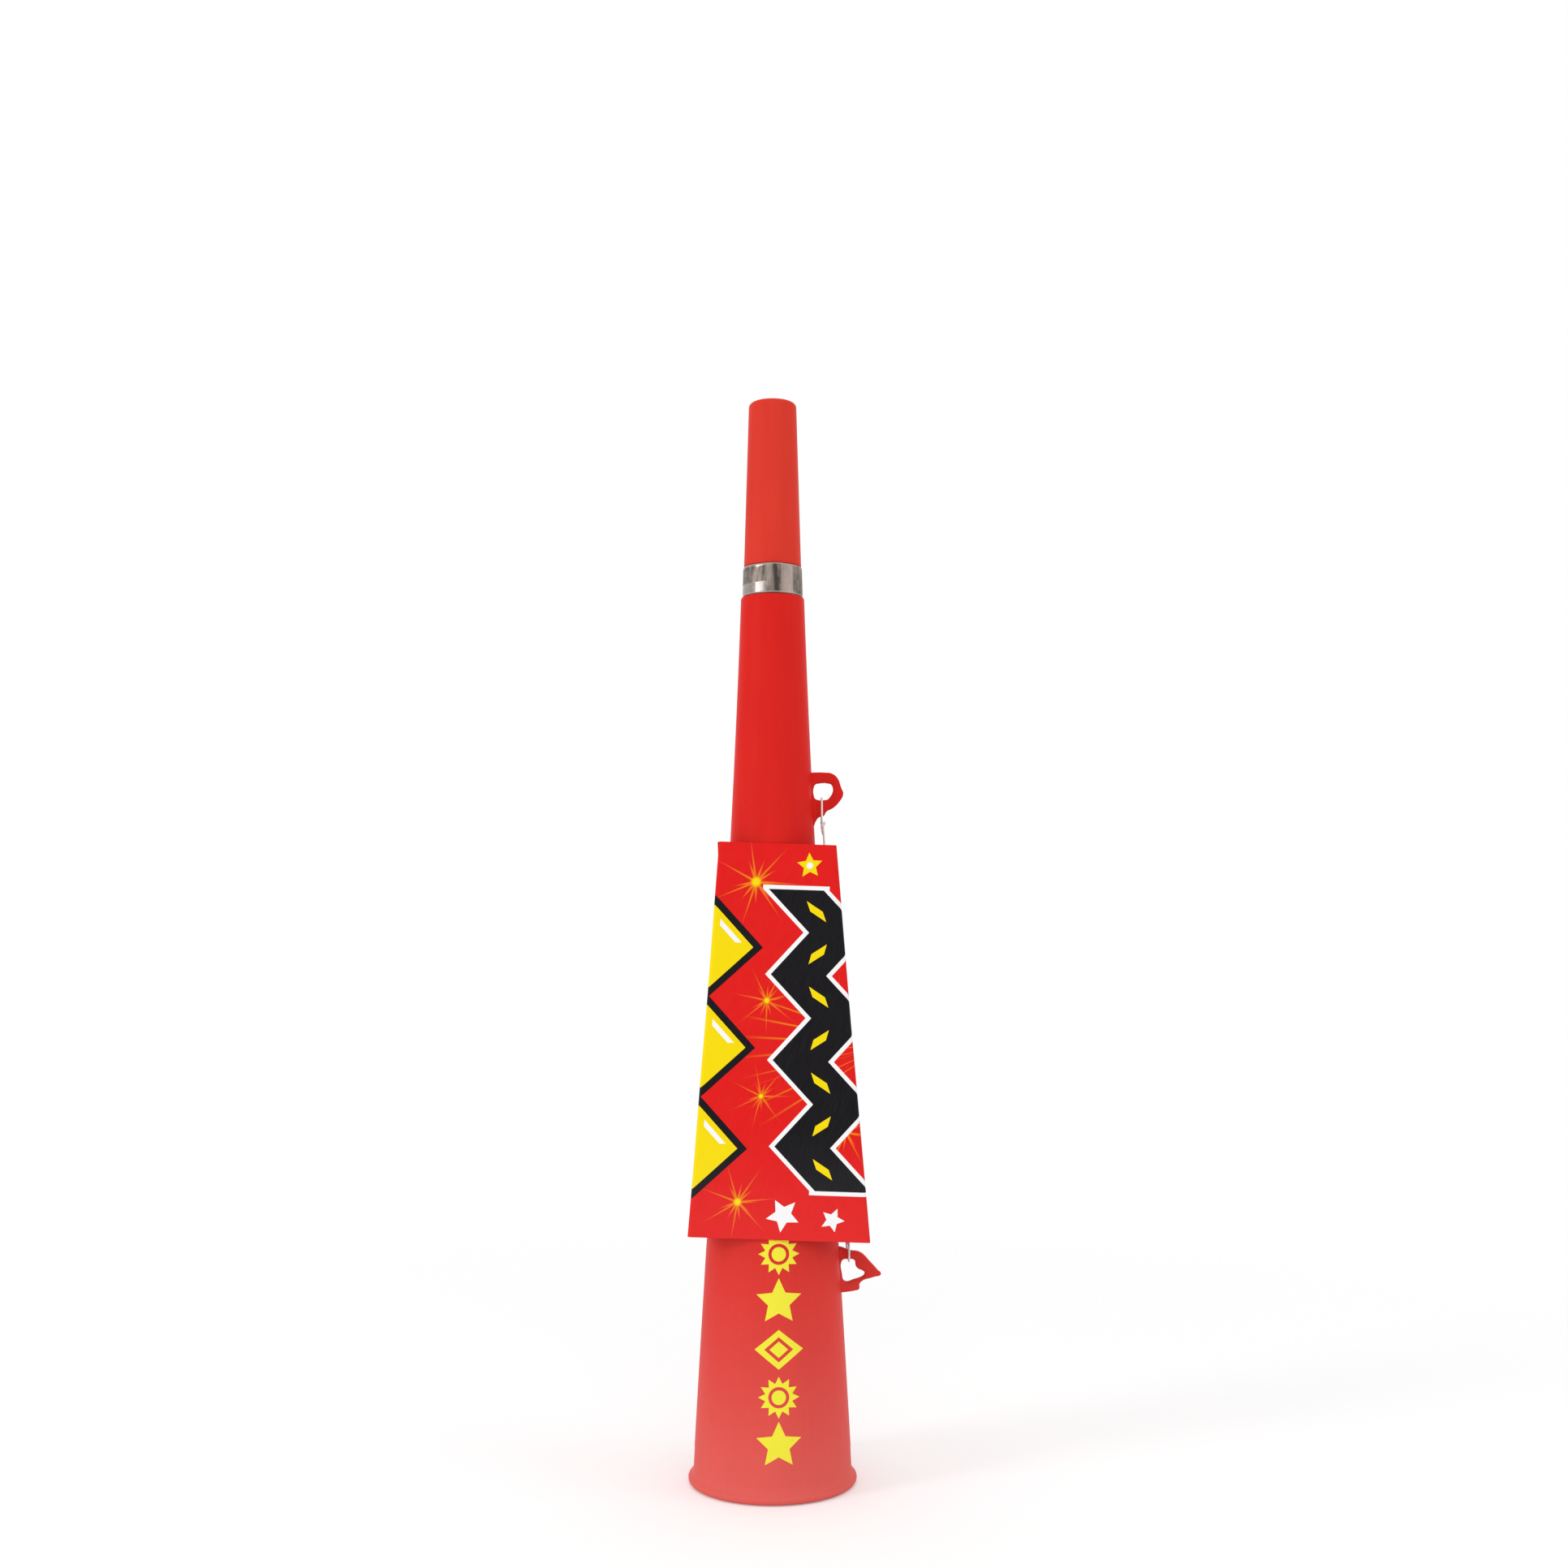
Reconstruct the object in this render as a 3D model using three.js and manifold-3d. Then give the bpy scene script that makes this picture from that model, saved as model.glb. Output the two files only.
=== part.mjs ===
// A moulded party reed horn that stands on its bell, with a flag wound round it.
// Millimetres, +Z up. The horn's axis is upright, and the two side loops are on its +X side.
import * as THREE from "three";
import { mergeVertices } from "three/addons/utils/BufferGeometryUtils.js";
import Module from "manifold-3d";

const wasm = await Module();
wasm.setup();

// Fits shared by all pieces
const seatGap = 0.3;
const cutOverrun = 1;
const ringSegments = 64;
const tubeSegments = 48;
const smallSegments = 32;
const rodSegments = 16;
const stringSides = 8;
const arcSteps = 5;

// Horn body
const bodyLength = 276;
const bodyTopRadius = 9.8;
const bellRadius = 24.6;
const bellHollowShare = 0.38;
const bodyWall = 1.2;
const bodyOuterSteps = 16;
const bodyInnerSteps = 8;
const topEdgeRounding = 0.4;
const rimHeight = 6;
const rimOuterRadius = 26.35;
const rimBeadRadius = 1.4;
const rimFlareHeight = 3.1;
const socketRadius = 8;
const socketDepth = 15;

// Side loops: outlines are shares of each loop's reach from the horn's skin and of its height
const loopThickness = 3;
const upperLoopHeight = 14.5;
const upperLoopReach = 9.7;
const upperLoopOutlineShares = [
  [0.39, 1], [0.62, 0.975], [0.78, 0.89], [0.94, 0.66], [1, 0.54],
  [0.85, 0.35], [0.665, 0.235], [0.443, 0.16], [0.31, 0.07], [0.134, 0],
];
const upperLoopHoleShares = [
  [0.04, 0.75], [0.1, 0.79], [0.51, 0.79], [0.61, 0.74], [0.64, 0.6],
  [0.56, 0.45], [0.47, 0.39], [0.1, 0.39], [0.04, 0.44],
];
const lowerLoopHeight = 14;
const lowerLoopReach = 12.8;
const lowerLoopOutlineShares = [
  [0.02, 1], [0.22, 0.93], [0.49, 0.885], [0.75, 0.66], [0.94, 0.47], [1, 0.41],
  [0.82, 0.34], [0.49, 0.21], [0.46, 0.064], [0.4, 0.045], [0.07, 0],
];
const lowerLoopHoleShares = [
  [0.06, 0.7], [0.12, 0.74], [0.4, 0.735], [0.56, 0.6], [0.65, 0.45],
  [0.58, 0.34], [0.45, 0.29], [0.12, 0.23], [0.06, 0.27],
];

// Mouthpiece
const mouthpieceLength = 51.3;
const mouthpieceFootRadius = 8.95;
const mouthpieceTipRadius = 7.45;
const mouthpieceBore = 4.5;
const mouthpieceSocketRadius = 7.35;
const mouthpieceSocketDepth = 14;
const mouthpieceNeckLength = 2;
const boreStraightLength = 5;

// Metal band over the joint
const ferruleHeight = 9;
const ferruleFootRadius = 9.45;
const ferruleTopRadius = 9.2;
const ferruleSheet = 0.35;
const ferruleLap = 2.4;
const ferruleLapStep = 0.5;
const ferruleSeamAngle = -86;

// Reed holder
const collarRadius = 8.55;
const lowerSpigotLength = 14;
const lowerSpigotWall = 1.4;
const upperSpigotLength = 12.5;
const upperSpigotWall = 1.45;
const webThickness = 2;

// Reed
const shallotRadius = 3.3;
const shallotFace = 1.2;
const shallotLength = 40;
const shallotBelowWeb = 6;
const shallotWall = 1.1;
const shallotSlotWidth = 2.6;
const shallotSlotLength = 24;
const clampRadius = 4.9;
const clampHeight = 4;
const tongueWidth = 4.4;
const tongueThickness = 0.25;
const tongueLength = 30;
const tongueCurl = 0.8;
const tongueSteps = 10;

// Flag, its pocket, rod and string. The side loops stand a string's run past the flag's ends
const flagHeight = 120;
const flagFoot = 78.7;
const upperStringRun = 8.2;
const lowerStringRun = 5.8;
const flyLength = 163;
const flagCloth = 0.4;
const flagLayerGap = 0.4;
const flagTiltShare = 0.033;
const flagLevels = 12;
const pocketLevels = 4;
const creaseSteps = 4;
const hugSteps = 14;
const freeSteps = 24;
const pocketSteps = 16;
const leftOverhangTop = 3.22;
const leftOverhangFoot = 5.45;
const rightOverhangTop = 6.35;
const rightOverhangFoot = 9.4;
const creaseRounding = 1.5;
const foldLineAngle = 20;
const pocketRadius = 2;
const pocketTurn = 300;
const pocketLip = 4;
const rodRadius = 1.5;
const rodWall = 0.6;
const rodStandOff = 3;
const rodInset = 1;
const stringRadius = 0.45;
const knotRadius = 1.2;
const nooseSteps = 22;
const nooseSpreadShare = 0.25;

const flagTop = flagFoot + flagHeight;
const upperLoopFoot = flagTop + upperStringRun;
const lowerLoopFoot = flagFoot - lowerStringRun - lowerLoopHeight;

// Finishes
const horn = { color: 0xd81f1f, roughness: 0.38, metalness: 0 };
const mouthRed = { color: 0xd83a2c, roughness: 0.42, metalness: 0 };
const tinplate = { color: 0xb9aca4, roughness: 0.3, metalness: 1 };
const reedPlastic = { color: 0xe6e2d6, roughness: 0.5, metalness: 0 };
const brass = { color: 0xc9a24a, roughness: 0.3, metalness: 1 };
const printedCloth = { color: 0xe02020, roughness: 0.75, metalness: 0 };
const whiteCloth = { color: 0xf2f2f0, roughness: 0.85, metalness: 0 };
const whiteRod = { color: 0xf4f4f2, roughness: 0.45, metalness: 0 };

// Solids

function closedGeometry(positions, indices) {
  const geometry = new THREE.BufferGeometry();
  geometry.setAttribute("position", new THREE.Float32BufferAttribute(positions, 3));
  geometry.setIndex(indices);
  return geometry;
}

function weld(geometry) {
  const bare = geometry.clone();
  bare.deleteAttribute("normal");
  bare.deleteAttribute("uv");
  return mergeVertices(bare);
}

function toSolid(geometry) {
  const welded = weld(geometry);
  const mesh = new wasm.Mesh({
    numProp: 3,
    vertProperties: new Float32Array(welded.attributes.position.array),
    triVerts: new Uint32Array(welded.index.array),
  });
  return new wasm.Manifold(mesh);
}

function toGeometry(solid) {
  const mesh = solid.getMesh();
  const positions = [];
  for (let i = 0; i < mesh.numVert; i++) {
    positions.push(...mesh.vertProperties.subarray(i * mesh.numProp, i * mesh.numProp + 3));
  }
  return closedGeometry(positions, Array.from(mesh.triVerts));
}

// A ring or cup turned about the upright axis from its outline, given as [radius, height] points
function turned(outline, segments) {
  const points = outline.map(([radius, height]) => new THREE.Vector2(radius, height));
  const geometry = new THREE.LatheGeometry(points, segments);
  geometry.rotateX(Math.PI / 2);
  return geometry;
}

function ringOutline(inner, outer, foot, top) {
  return [[inner, foot], [outer, foot], [outer, top], [inner, top], [inner, foot]];
}

// A plate in the XZ plane, centred on y = 0
function plate(points, holePoints, thickness) {
  const anticlockwise = THREE.ShapeUtils.isClockWise(points) ? points.toReversed() : points;
  const shape = new THREE.Shape(anticlockwise);
  shape.holes.push(new THREE.Path(holePoints));
  const geometry = new THREE.ExtrudeGeometry(shape, { depth: thickness, bevelEnabled: false });
  geometry.rotateX(Math.PI / 2);
  geometry.translate(0, thickness / 2, 0);
  return geometry;
}

// A sheet of even thickness. Each level is a list of points along the sheet's middle
function thickSheet(levels, thickness) {
  const count = levels[0].length;
  const positions = [];
  for (const level of levels) {
    const outer = [];
    const inner = [];
    level.forEach((point, i) => {
      const before = level[Math.max(i - 1, 0)];
      const after = level[Math.min(i + 1, count - 1)];
      const along = new THREE.Vector2(after.x - before.x, after.y - before.y).normalize();
      const side = new THREE.Vector3(along.y, -along.x, 0).multiplyScalar(thickness / 2);
      outer.push(point.clone().add(side));
      inner.push(point.clone().sub(side));
    });
    for (const point of [...outer, ...inner.reverse()]) {
      positions.push(point.x, point.y, point.z);
    }
  }
  const loop = 2 * count;
  const indices = [];
  for (let level = 0; level + 1 < levels.length; level++) {
    for (let i = 0; i < loop; i++) {
      const low = level * loop + i;
      const lowNext = level * loop + ((i + 1) % loop);
      indices.push(low, lowNext, lowNext + loop, low, lowNext + loop, low + loop);
    }
  }
  const top = (levels.length - 1) * loop;
  for (let i = 0; i + 1 < count; i++) {
    const across = loop - 1 - i;
    indices.push(i, across, i + 1, i + 1, across, across - 1);
    indices.push(top + i, top + i + 1, top + across, top + i + 1, top + across - 1, top + across);
  }
  return closedGeometry(positions, indices);
}

function arcPoints(centreX, radius, from, to, steps) {
  const points = [];
  for (let i = 0; i <= steps; i++) {
    const angle = from + ((to - from) * i) / steps;
    points.push(new THREE.Vector2(centreX + radius * Math.cos(angle), radius * Math.sin(angle)));
  }
  return points;
}

function linePoints(from, to, steps) {
  const points = [];
  for (let i = 0; i <= steps; i++) {
    points.push(from.clone().lerp(to, i / steps));
  }
  return points;
}

function joinPoints(...parts) {
  const points = [];
  for (const part of parts) {
    const last = points[points.length - 1];
    points.push(...(last && last.distanceTo(part[0]) < seatGap / ringSegments ? part.slice(1) : part));
  }
  return points;
}

function pathLength(points) {
  let length = 0;
  for (let i = 1; i < points.length; i++) {
    length += points[i].distanceTo(points[i - 1]);
  }
  return length;
}

// Points at even spacing along a path, up to the given length
function evenPoints(points, length, steps) {
  const even = [];
  let at = 0;
  let walked = 0;
  for (let i = 0; i <= steps; i++) {
    const target = (length * i) / steps;
    while (at + 2 < points.length && walked + points[at + 1].distanceTo(points[at]) < target) {
      walked += points[at + 1].distanceTo(points[at]);
      at += 1;
    }
    const step = points[at + 1].distanceTo(points[at]);
    even.push(points[at].clone().lerp(points[at + 1], (target - walked) / step));
  }
  return even;
}

// Horn body: a hollow cone, slimmer in the middle than a straight one, with a beaded rim

function bodyRadius(z) {
  const t = (bodyLength - z) / (bodyLength - rimHeight);
  const hollow = bellHollowShare * t * (1 - t) * (1 - t);
  return bodyTopRadius + (bellRadius - bodyTopRadius) * (t - hollow);
}

function bodyOutline() {
  const rim = new THREE.Path();
  const beadCentre = rimOuterRadius - rimBeadRadius;
  rim.moveTo(bellRadius - bodyWall, 0);
  rim.lineTo(beadCentre, 0);
  rim.absarc(beadCentre, rimBeadRadius, rimBeadRadius, -Math.PI / 2, Math.PI / 4, false);
  rim.quadraticCurveTo(bellRadius, rimFlareHeight, bellRadius, rimHeight);
  const outline = rim.getPoints(arcSteps + 1).map((point) => [point.x, point.y]);
  for (let i = 1; i <= bodyOuterSteps; i++) {
    const z = rimHeight + ((bodyLength - topEdgeRounding - rimHeight) * i) / bodyOuterSteps;
    outline.push([bodyRadius(z), z]);
  }
  outline.push([bodyRadius(bodyLength) - topEdgeRounding, bodyLength]);
  outline.push([socketRadius, bodyLength]);
  const socketFoot = bodyLength - socketDepth;
  outline.push([socketRadius, socketFoot]);
  for (let i = 0; i <= bodyInnerSteps; i++) {
    const z = socketFoot + ((rimHeight - socketFoot) * i) / bodyInnerSteps;
    outline.push([bodyRadius(z) - bodyWall, z]);
  }
  outline.push([bellRadius - bodyWall, 0]);
  return outline;
}

function loopPoints(shares, foot, height, reach) {
  const skin = bodyRadius(foot + height / 2);
  return shares.map(([out, up]) => new THREE.Vector2(skin + out * reach, foot + up * height));
}

// The plate of a side loop, which starts in the middle of the horn's wall
function loopSolid(foot, height, reach, outlineShares, holeShares) {
  const outline = loopPoints(outlineShares, foot, height, reach);
  const last = outline[outline.length - 1];
  outline.push(new THREE.Vector2(bodyRadius(last.y) - bodyWall / 2, last.y));
  outline.push(new THREE.Vector2(bodyRadius(outline[0].y) - bodyWall / 2, outline[0].y));
  return toSolid(plate(outline, loopPoints(holeShares, foot, height, reach), loopThickness));
}

function hornBody() {
  let solid = toSolid(turned(bodyOutline(), ringSegments));
  solid = solid.add(loopSolid(
    upperLoopFoot, upperLoopHeight, upperLoopReach, upperLoopOutlineShares, upperLoopHoleShares,
  ));
  solid = solid.add(loopSolid(
    lowerLoopFoot, lowerLoopHeight, lowerLoopReach, lowerLoopOutlineShares, lowerLoopHoleShares,
  ));
  return toGeometry(solid);
}

// Mouthpiece: a tapered tube with a rounded lip, a socket below and a short neck inside the metal band

const bandFoot = bodyLength + seatGap;
const bandTop = bandFoot + ferruleHeight;
const mouthpieceFoot = bandTop + seatGap;
const mouthpieceTop = mouthpieceFoot + mouthpieceLength;
const neckFoot = mouthpieceFoot - mouthpieceNeckLength;
const neckRadius = ferruleTopRadius - ferruleSheet - seatGap;
const lipRadius = (mouthpieceTipRadius - mouthpieceBore) / 2;

function mouthpiece() {
  const lipHeight = mouthpieceTop - lipRadius;
  const path = new THREE.Path();
  path.moveTo(mouthpieceSocketRadius, neckFoot);
  path.lineTo(neckRadius, neckFoot);
  path.lineTo(neckRadius, mouthpieceFoot);
  path.lineTo(mouthpieceFootRadius, mouthpieceFoot);
  path.lineTo(mouthpieceTipRadius, lipHeight);
  path.absarc(mouthpieceBore + lipRadius, lipHeight, lipRadius, 0, Math.PI, false);
  path.lineTo(mouthpieceBore, lipHeight - boreStraightLength);
  path.lineTo(mouthpieceSocketRadius, mouthpieceFoot + mouthpieceSocketDepth);
  path.lineTo(mouthpieceSocketRadius, neckFoot);
  return turned(path.getPoints(arcSteps).map((point) => [point.x, point.y]), tubeSegments);
}

// Metal band: one strip rolled round, its last stretch lapped over its first

function ferruleLevel(z, outerRadius) {
  const middle = outerRadius - ferruleSheet / 2;
  const start = THREE.MathUtils.degToRad(ferruleSeamAngle);
  const lapAngle = ferruleLap / middle;
  const wholeTurn = 2 * Math.PI;
  const turn = wholeTurn + lapAngle;
  const level = [];
  for (let i = 0; i <= ringSegments; i++) {
    const angle = (turn * i) / ringSegments;
    const rise = THREE.MathUtils.smoothstep(angle, wholeTurn - 2 * lapAngle, wholeTurn);
    const radius = middle + ferruleLapStep * rise;
    level.push(new THREE.Vector3(
      radius * Math.cos(start + angle), radius * Math.sin(start + angle), z,
    ));
  }
  return level;
}

function ferruleBand() {
  const levels = [ferruleLevel(bandFoot, ferruleFootRadius), ferruleLevel(bandTop, ferruleTopRadius)];
  return thickSheet(levels, ferruleSheet);
}

// Reed holder: a plug for the horn's socket, a collar under the band, a web, and a plug for the mouthpiece

const lowerSpigotRadius = socketRadius - seatGap;
const upperSpigotRadius = mouthpieceSocketRadius - seatGap;
const collarTop = neckFoot - seatGap;
const collarFoot = bodyLength + seatGap;
const webFoot = collarTop - webThickness;

// The trough's D shape: a round bar with a flat face towards -Y
function dShape(radius, face) {
  const shape = new THREE.Shape();
  const edge = Math.asin(-face / radius);
  shape.absarc(0, 0, radius, edge, Math.PI - edge, false);
  shape.closePath();
  return shape;
}

function dBar(radius, face, foot, height) {
  const geometry = new THREE.ExtrudeGeometry(
    dShape(radius, face), { depth: height, bevelEnabled: false, curveSegments: smallSegments },
  );
  geometry.translate(0, 0, foot);
  return toSolid(geometry);
}

function roundBar(radius, foot, height) {
  const geometry = new THREE.CylinderGeometry(radius, radius, height, smallSegments);
  geometry.rotateX(Math.PI / 2);
  geometry.translate(0, 0, foot + height / 2);
  return toSolid(geometry);
}

function reedHolder() {
  const foot = bodyLength - lowerSpigotLength;
  const top = mouthpieceFoot + upperSpigotLength;
  const outline = [
    [lowerSpigotRadius - lowerSpigotWall, foot],
    [lowerSpigotRadius, foot],
    [lowerSpigotRadius, collarFoot],
    [collarRadius, collarFoot],
    [collarRadius, collarTop],
    [upperSpigotRadius, collarTop],
    [upperSpigotRadius, top],
    [upperSpigotRadius - upperSpigotWall, top],
    [upperSpigotRadius - upperSpigotWall, collarTop],
    [0, collarTop],
    [0, webFoot],
    [lowerSpigotRadius - lowerSpigotWall, webFoot],
    [lowerSpigotRadius - lowerSpigotWall, foot],
  ];
  const shell = toSolid(turned(outline, smallSegments));
  const hole = dBar(
    shallotRadius + seatGap, shallotFace + seatGap,
    webFoot - cutOverrun, webThickness + 2 * cutOverrun,
  );
  return toGeometry(shell.subtract(hole));
}

// Reed trough: closed at its tip, open below, with a slot along its flat face

const shallotFoot = webFoot - shallotBelowWeb;
const shallotTop = shallotFoot + shallotLength;

function reedShallot() {
  const boreTop = shallotTop - shallotWall;
  const bar = dBar(shallotRadius, shallotFace, shallotFoot, shallotLength);
  const boreFace = shallotFace - shallotWall / 2;
  const bore = dBar(
    shallotRadius - shallotWall, boreFace, shallotFoot - cutOverrun, boreTop - shallotFoot + cutOverrun,
  );
  const slot = new THREE.BoxGeometry(shallotSlotWidth, 2 * shallotFace, shallotSlotLength);
  slot.translate(0, -shallotFace, boreTop - shallotSlotLength / 2);
  return toGeometry(bar.subtract(bore).subtract(toSolid(slot)));
}

// Ring that presses the tongue's root on the trough's flat face

const clampFoot = collarTop + seatGap;
const tongueBack = shallotFace + seatGap;
const tongueFront = tongueBack + tongueThickness;

function reedClamp() {
  const ring = roundBar(clampRadius, clampFoot, clampHeight);
  const hole = dBar(
    shallotRadius + seatGap, tongueFront + seatGap, clampFoot - cutOverrun, clampHeight + 2 * cutOverrun,
  );
  return toGeometry(ring.subtract(hole));
}

// Tongue: a brass strip, flat in the clamp, that curls a little away from the slot

function reedTongue() {
  const points = [];
  for (let i = 0; i <= tongueSteps; i++) {
    const along = i / tongueSteps;
    const lift = tongueCurl * along * along * along;
    const z = clampFoot + tongueLength * along;
    points.push(new THREE.Vector3(z, -(tongueBack + tongueThickness / 2 + lift), 0));
  }
  const far = points.map((point) => new THREE.Vector3(point.x, point.y, tongueWidth));
  const geometry = thickSheet([points, far], tongueThickness);
  geometry.rotateY(-Math.PI / 2);
  geometry.translate(tongueWidth / 2, 0, 0);
  return geometry;
}

// Flag rod's line, which leans with the horn's side

const rodFootX = bodyRadius(flagFoot) + rodStandOff;
const rodTopX = bodyRadius(flagTop) + rodStandOff;
const rodLean = Math.atan2(rodTopX - rodFootX, flagHeight);

function rodX(z) {
  return rodFootX + ((rodTopX - rodFootX) * (z - flagFoot)) / flagHeight;
}

// Flag: from its pocket round the horn's back, across the front, over the rod and on to the back again

const skinGap = seatGap + flagCloth / 2;
const overRodRadius = pocketRadius + flagCloth + seatGap;

function flagRound(z) {
  const hug = bodyRadius(z) + skinGap;
  const outerHug = hug + flagCloth + flagLayerGap;
  const rod = rodX(z);
  const up = (z - flagFoot) / flagHeight;
  const left = -(bodyRadius(z) + THREE.MathUtils.lerp(leftOverhangFoot, leftOverhangTop, up));
  const right = bodyRadius(z) + THREE.MathUtils.lerp(rightOverhangFoot, rightOverhangTop, up);
  const leftAngle = Math.atan2(-hug, left) + 2 * Math.PI - Math.acos(hug / Math.hypot(left, hug));
  const pocketAngle = Math.acos((hug - pocketRadius) / rod);
  const backAngle = Math.acos((outerHug - overRodRadius) / rod);
  const reach = Math.hypot(right - rod, hug);
  const sideAngle = Math.atan2(-hug, right - rod) + Math.acos(overRodRadius / reach);
  return { hug, outerHug, rod, left, right, leftAngle, pocketAngle, backAngle, sideAngle };
}

function polar(centreX, radius, angle) {
  return new THREE.Vector2(centreX + radius * Math.cos(angle), radius * Math.sin(angle));
}

function crease(corner, before, after) {
  const from = corner.clone().lerp(before, creaseRounding / corner.distanceTo(before));
  const to = corner.clone().lerp(after, creaseRounding / corner.distanceTo(after));
  return new THREE.QuadraticBezierCurve(from, corner, to).getPoints(creaseSteps);
}

const foldAngle = THREE.MathUtils.degToRad(foldLineAngle);
const halfFoldGap = seatGap / 2 / overRodRadius;

function woundPath(z) {
  const round = flagRound(z);
  const pocket = polar(round.rod, pocketRadius, round.pocketAngle);
  const backStart = polar(0, round.hug, round.pocketAngle);
  const line = backStart.clone().sub(pocket).normalize();
  const start = pocket.clone().addScaledVector(line, pocketLip + seatGap);
  const leftFoot = polar(0, round.hug, round.leftAngle);
  const leftCorner = new THREE.Vector2(round.left, -round.hug);
  const rightCorner = new THREE.Vector2(round.right, -round.hug);
  const side = polar(round.rod, overRodRadius, round.sideAngle);
  const leftFold = crease(leftCorner, leftFoot, rightCorner);
  const rightFold = crease(rightCorner, leftCorner, side);
  return joinPoints(
    linePoints(start, backStart, 1),
    arcPoints(0, round.hug, round.pocketAngle, round.leftAngle, hugSteps),
    linePoints(leftFoot, leftFold[0], 1),
    leftFold,
    linePoints(leftFold[leftFold.length - 1], rightFold[0], 2),
    rightFold,
    linePoints(rightFold[rightFold.length - 1], side, 1),
    arcPoints(round.rod, overRodRadius, round.sideAngle, foldAngle - halfFoldGap, 2),
  );
}

function freePath(z) {
  const round = flagRound(z);
  const backStart = polar(0, round.outerHug, round.backAngle);
  const leftFoot = polar(0, round.outerHug, round.leftAngle);
  const leftLine = new THREE.Vector2(round.left, -round.hug).sub(polar(0, round.hug, round.leftAngle));
  const path = joinPoints(
    arcPoints(round.rod, overRodRadius, foldAngle + halfFoldGap, round.backAngle, creaseSteps),
    linePoints(polar(round.rod, overRodRadius, round.backAngle), backStart, 2),
    arcPoints(0, round.outerHug, round.backAngle, round.leftAngle, freeSteps),
    linePoints(leftFoot, leftFoot.clone().add(leftLine), 2),
  );
  return evenPoints(path, flyLength - pathLength(woundPath(z)), freeSteps);
}

function pocketPath(z) {
  const round = flagRound(z);
  const pocket = polar(round.rod, pocketRadius, round.pocketAngle);
  const line = polar(0, round.hug, round.pocketAngle).sub(pocket).normalize();
  const turnEnd = round.pocketAngle - THREE.MathUtils.degToRad(pocketTurn);
  return joinPoints(
    linePoints(pocket.clone().addScaledVector(line, pocketLip), pocket, 2),
    arcPoints(round.rod, pocketRadius, round.pocketAngle, turnEnd, pocketSteps),
  );
}

// The whole roll sits a little askew on the horn, so its edges fall towards +X
function sheetLevels(path, count) {
  const levels = [];
  for (let i = 0; i <= count; i++) {
    const z = flagFoot + (flagHeight * i) / count;
    const level = path(z).map((point, k) => {
      const askew = z - flagTiltShare * point.x;
      const placed = path(askew)[k];
      return new THREE.Vector3(placed.x, placed.y, askew);
    });
    levels.push(level);
  }
  return levels;
}

// String: down through the rod, and looped through and knotted under or over each side loop

const stringSide = loopThickness / 2 + seatGap + stringRadius;
const stringLift = stringRadius + seatGap / 2;

// A noose from a knot, up or down both faces of a side loop and across the edge of its hole
function stringLoop(knotZ, edgeZ) {
  const away = Math.sign(edgeZ - knotZ);
  const x = rodX(edgeZ);
  const low = knotZ + (edgeZ - knotZ) * nooseSpreadShare;
  const crossing = edgeZ + away * stringLift;
  const wide = stringSide + stringRadius * nooseSpreadShare;
  const points = [
    [0, knotZ], [-stringSide, low], [-wide, edgeZ], [-loopThickness / 2, crossing],
    [loopThickness / 2, crossing], [wide, edgeZ], [stringSide, low], [0, knotZ],
  ];
  const curve = new THREE.CatmullRomCurve3(points.map(([y, z]) => new THREE.Vector3(x, y, z)));
  const section = new THREE.Shape().absarc(0, 0, stringRadius, 0, 2 * Math.PI, false);
  const geometry = new THREE.ExtrudeGeometry(
    section, { steps: nooseSteps, curveSegments: stringSides / 2, extrudePath: curve },
  );
  return toSolid(geometry);
}

function loopHole(shares, foot, height) {
  return shares.map((share) => foot + share[1] * height);
}

function knot(z) {
  const geometry = new THREE.SphereGeometry(knotRadius, stringSides, stringSides);
  geometry.translate(rodX(z), 0, z);
  return toSolid(geometry);
}

const upperHoleFoot = Math.min(...loopHole(upperLoopHoleShares, upperLoopFoot, upperLoopHeight));
const lowerHoleTop = Math.max(...loopHole(lowerLoopHoleShares, lowerLoopFoot, lowerLoopHeight));
const upperKnotZ = upperLoopFoot - knotRadius - seatGap;
const lowerKnotZ = lowerLoopFoot + lowerLoopHeight + knotRadius + seatGap;

function tieString() {
  const length = upperKnotZ - lowerKnotZ;
  const run = new THREE.CylinderGeometry(stringRadius, stringRadius, length / Math.cos(rodLean), stringSides);
  run.rotateX(Math.PI / 2);
  run.rotateY(rodLean);
  const middle = (upperKnotZ + lowerKnotZ) / 2;
  run.translate(rodX(middle), 0, middle);
  const solid = toSolid(run)
    .add(stringLoop(upperKnotZ, upperHoleFoot))
    .add(stringLoop(lowerKnotZ, lowerHoleTop))
    .add(knot(upperKnotZ))
    .add(knot(lowerKnotZ));
  return toGeometry(solid);
}

// Assembly

const instrument = new THREE.Group();
const lowerLoopTip = bodyRadius(lowerLoopFoot + lowerLoopHeight / 2) + lowerLoopReach;
instrument.position.x = (rimOuterRadius - lowerLoopTip) / 2;

function place(name, geometry, finish, parent = instrument) {
  const mesh = new THREE.Mesh(geometry, new THREE.MeshStandardMaterial(finish));
  mesh.name = name;
  parent.add(mesh);
  return mesh;
}

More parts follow.
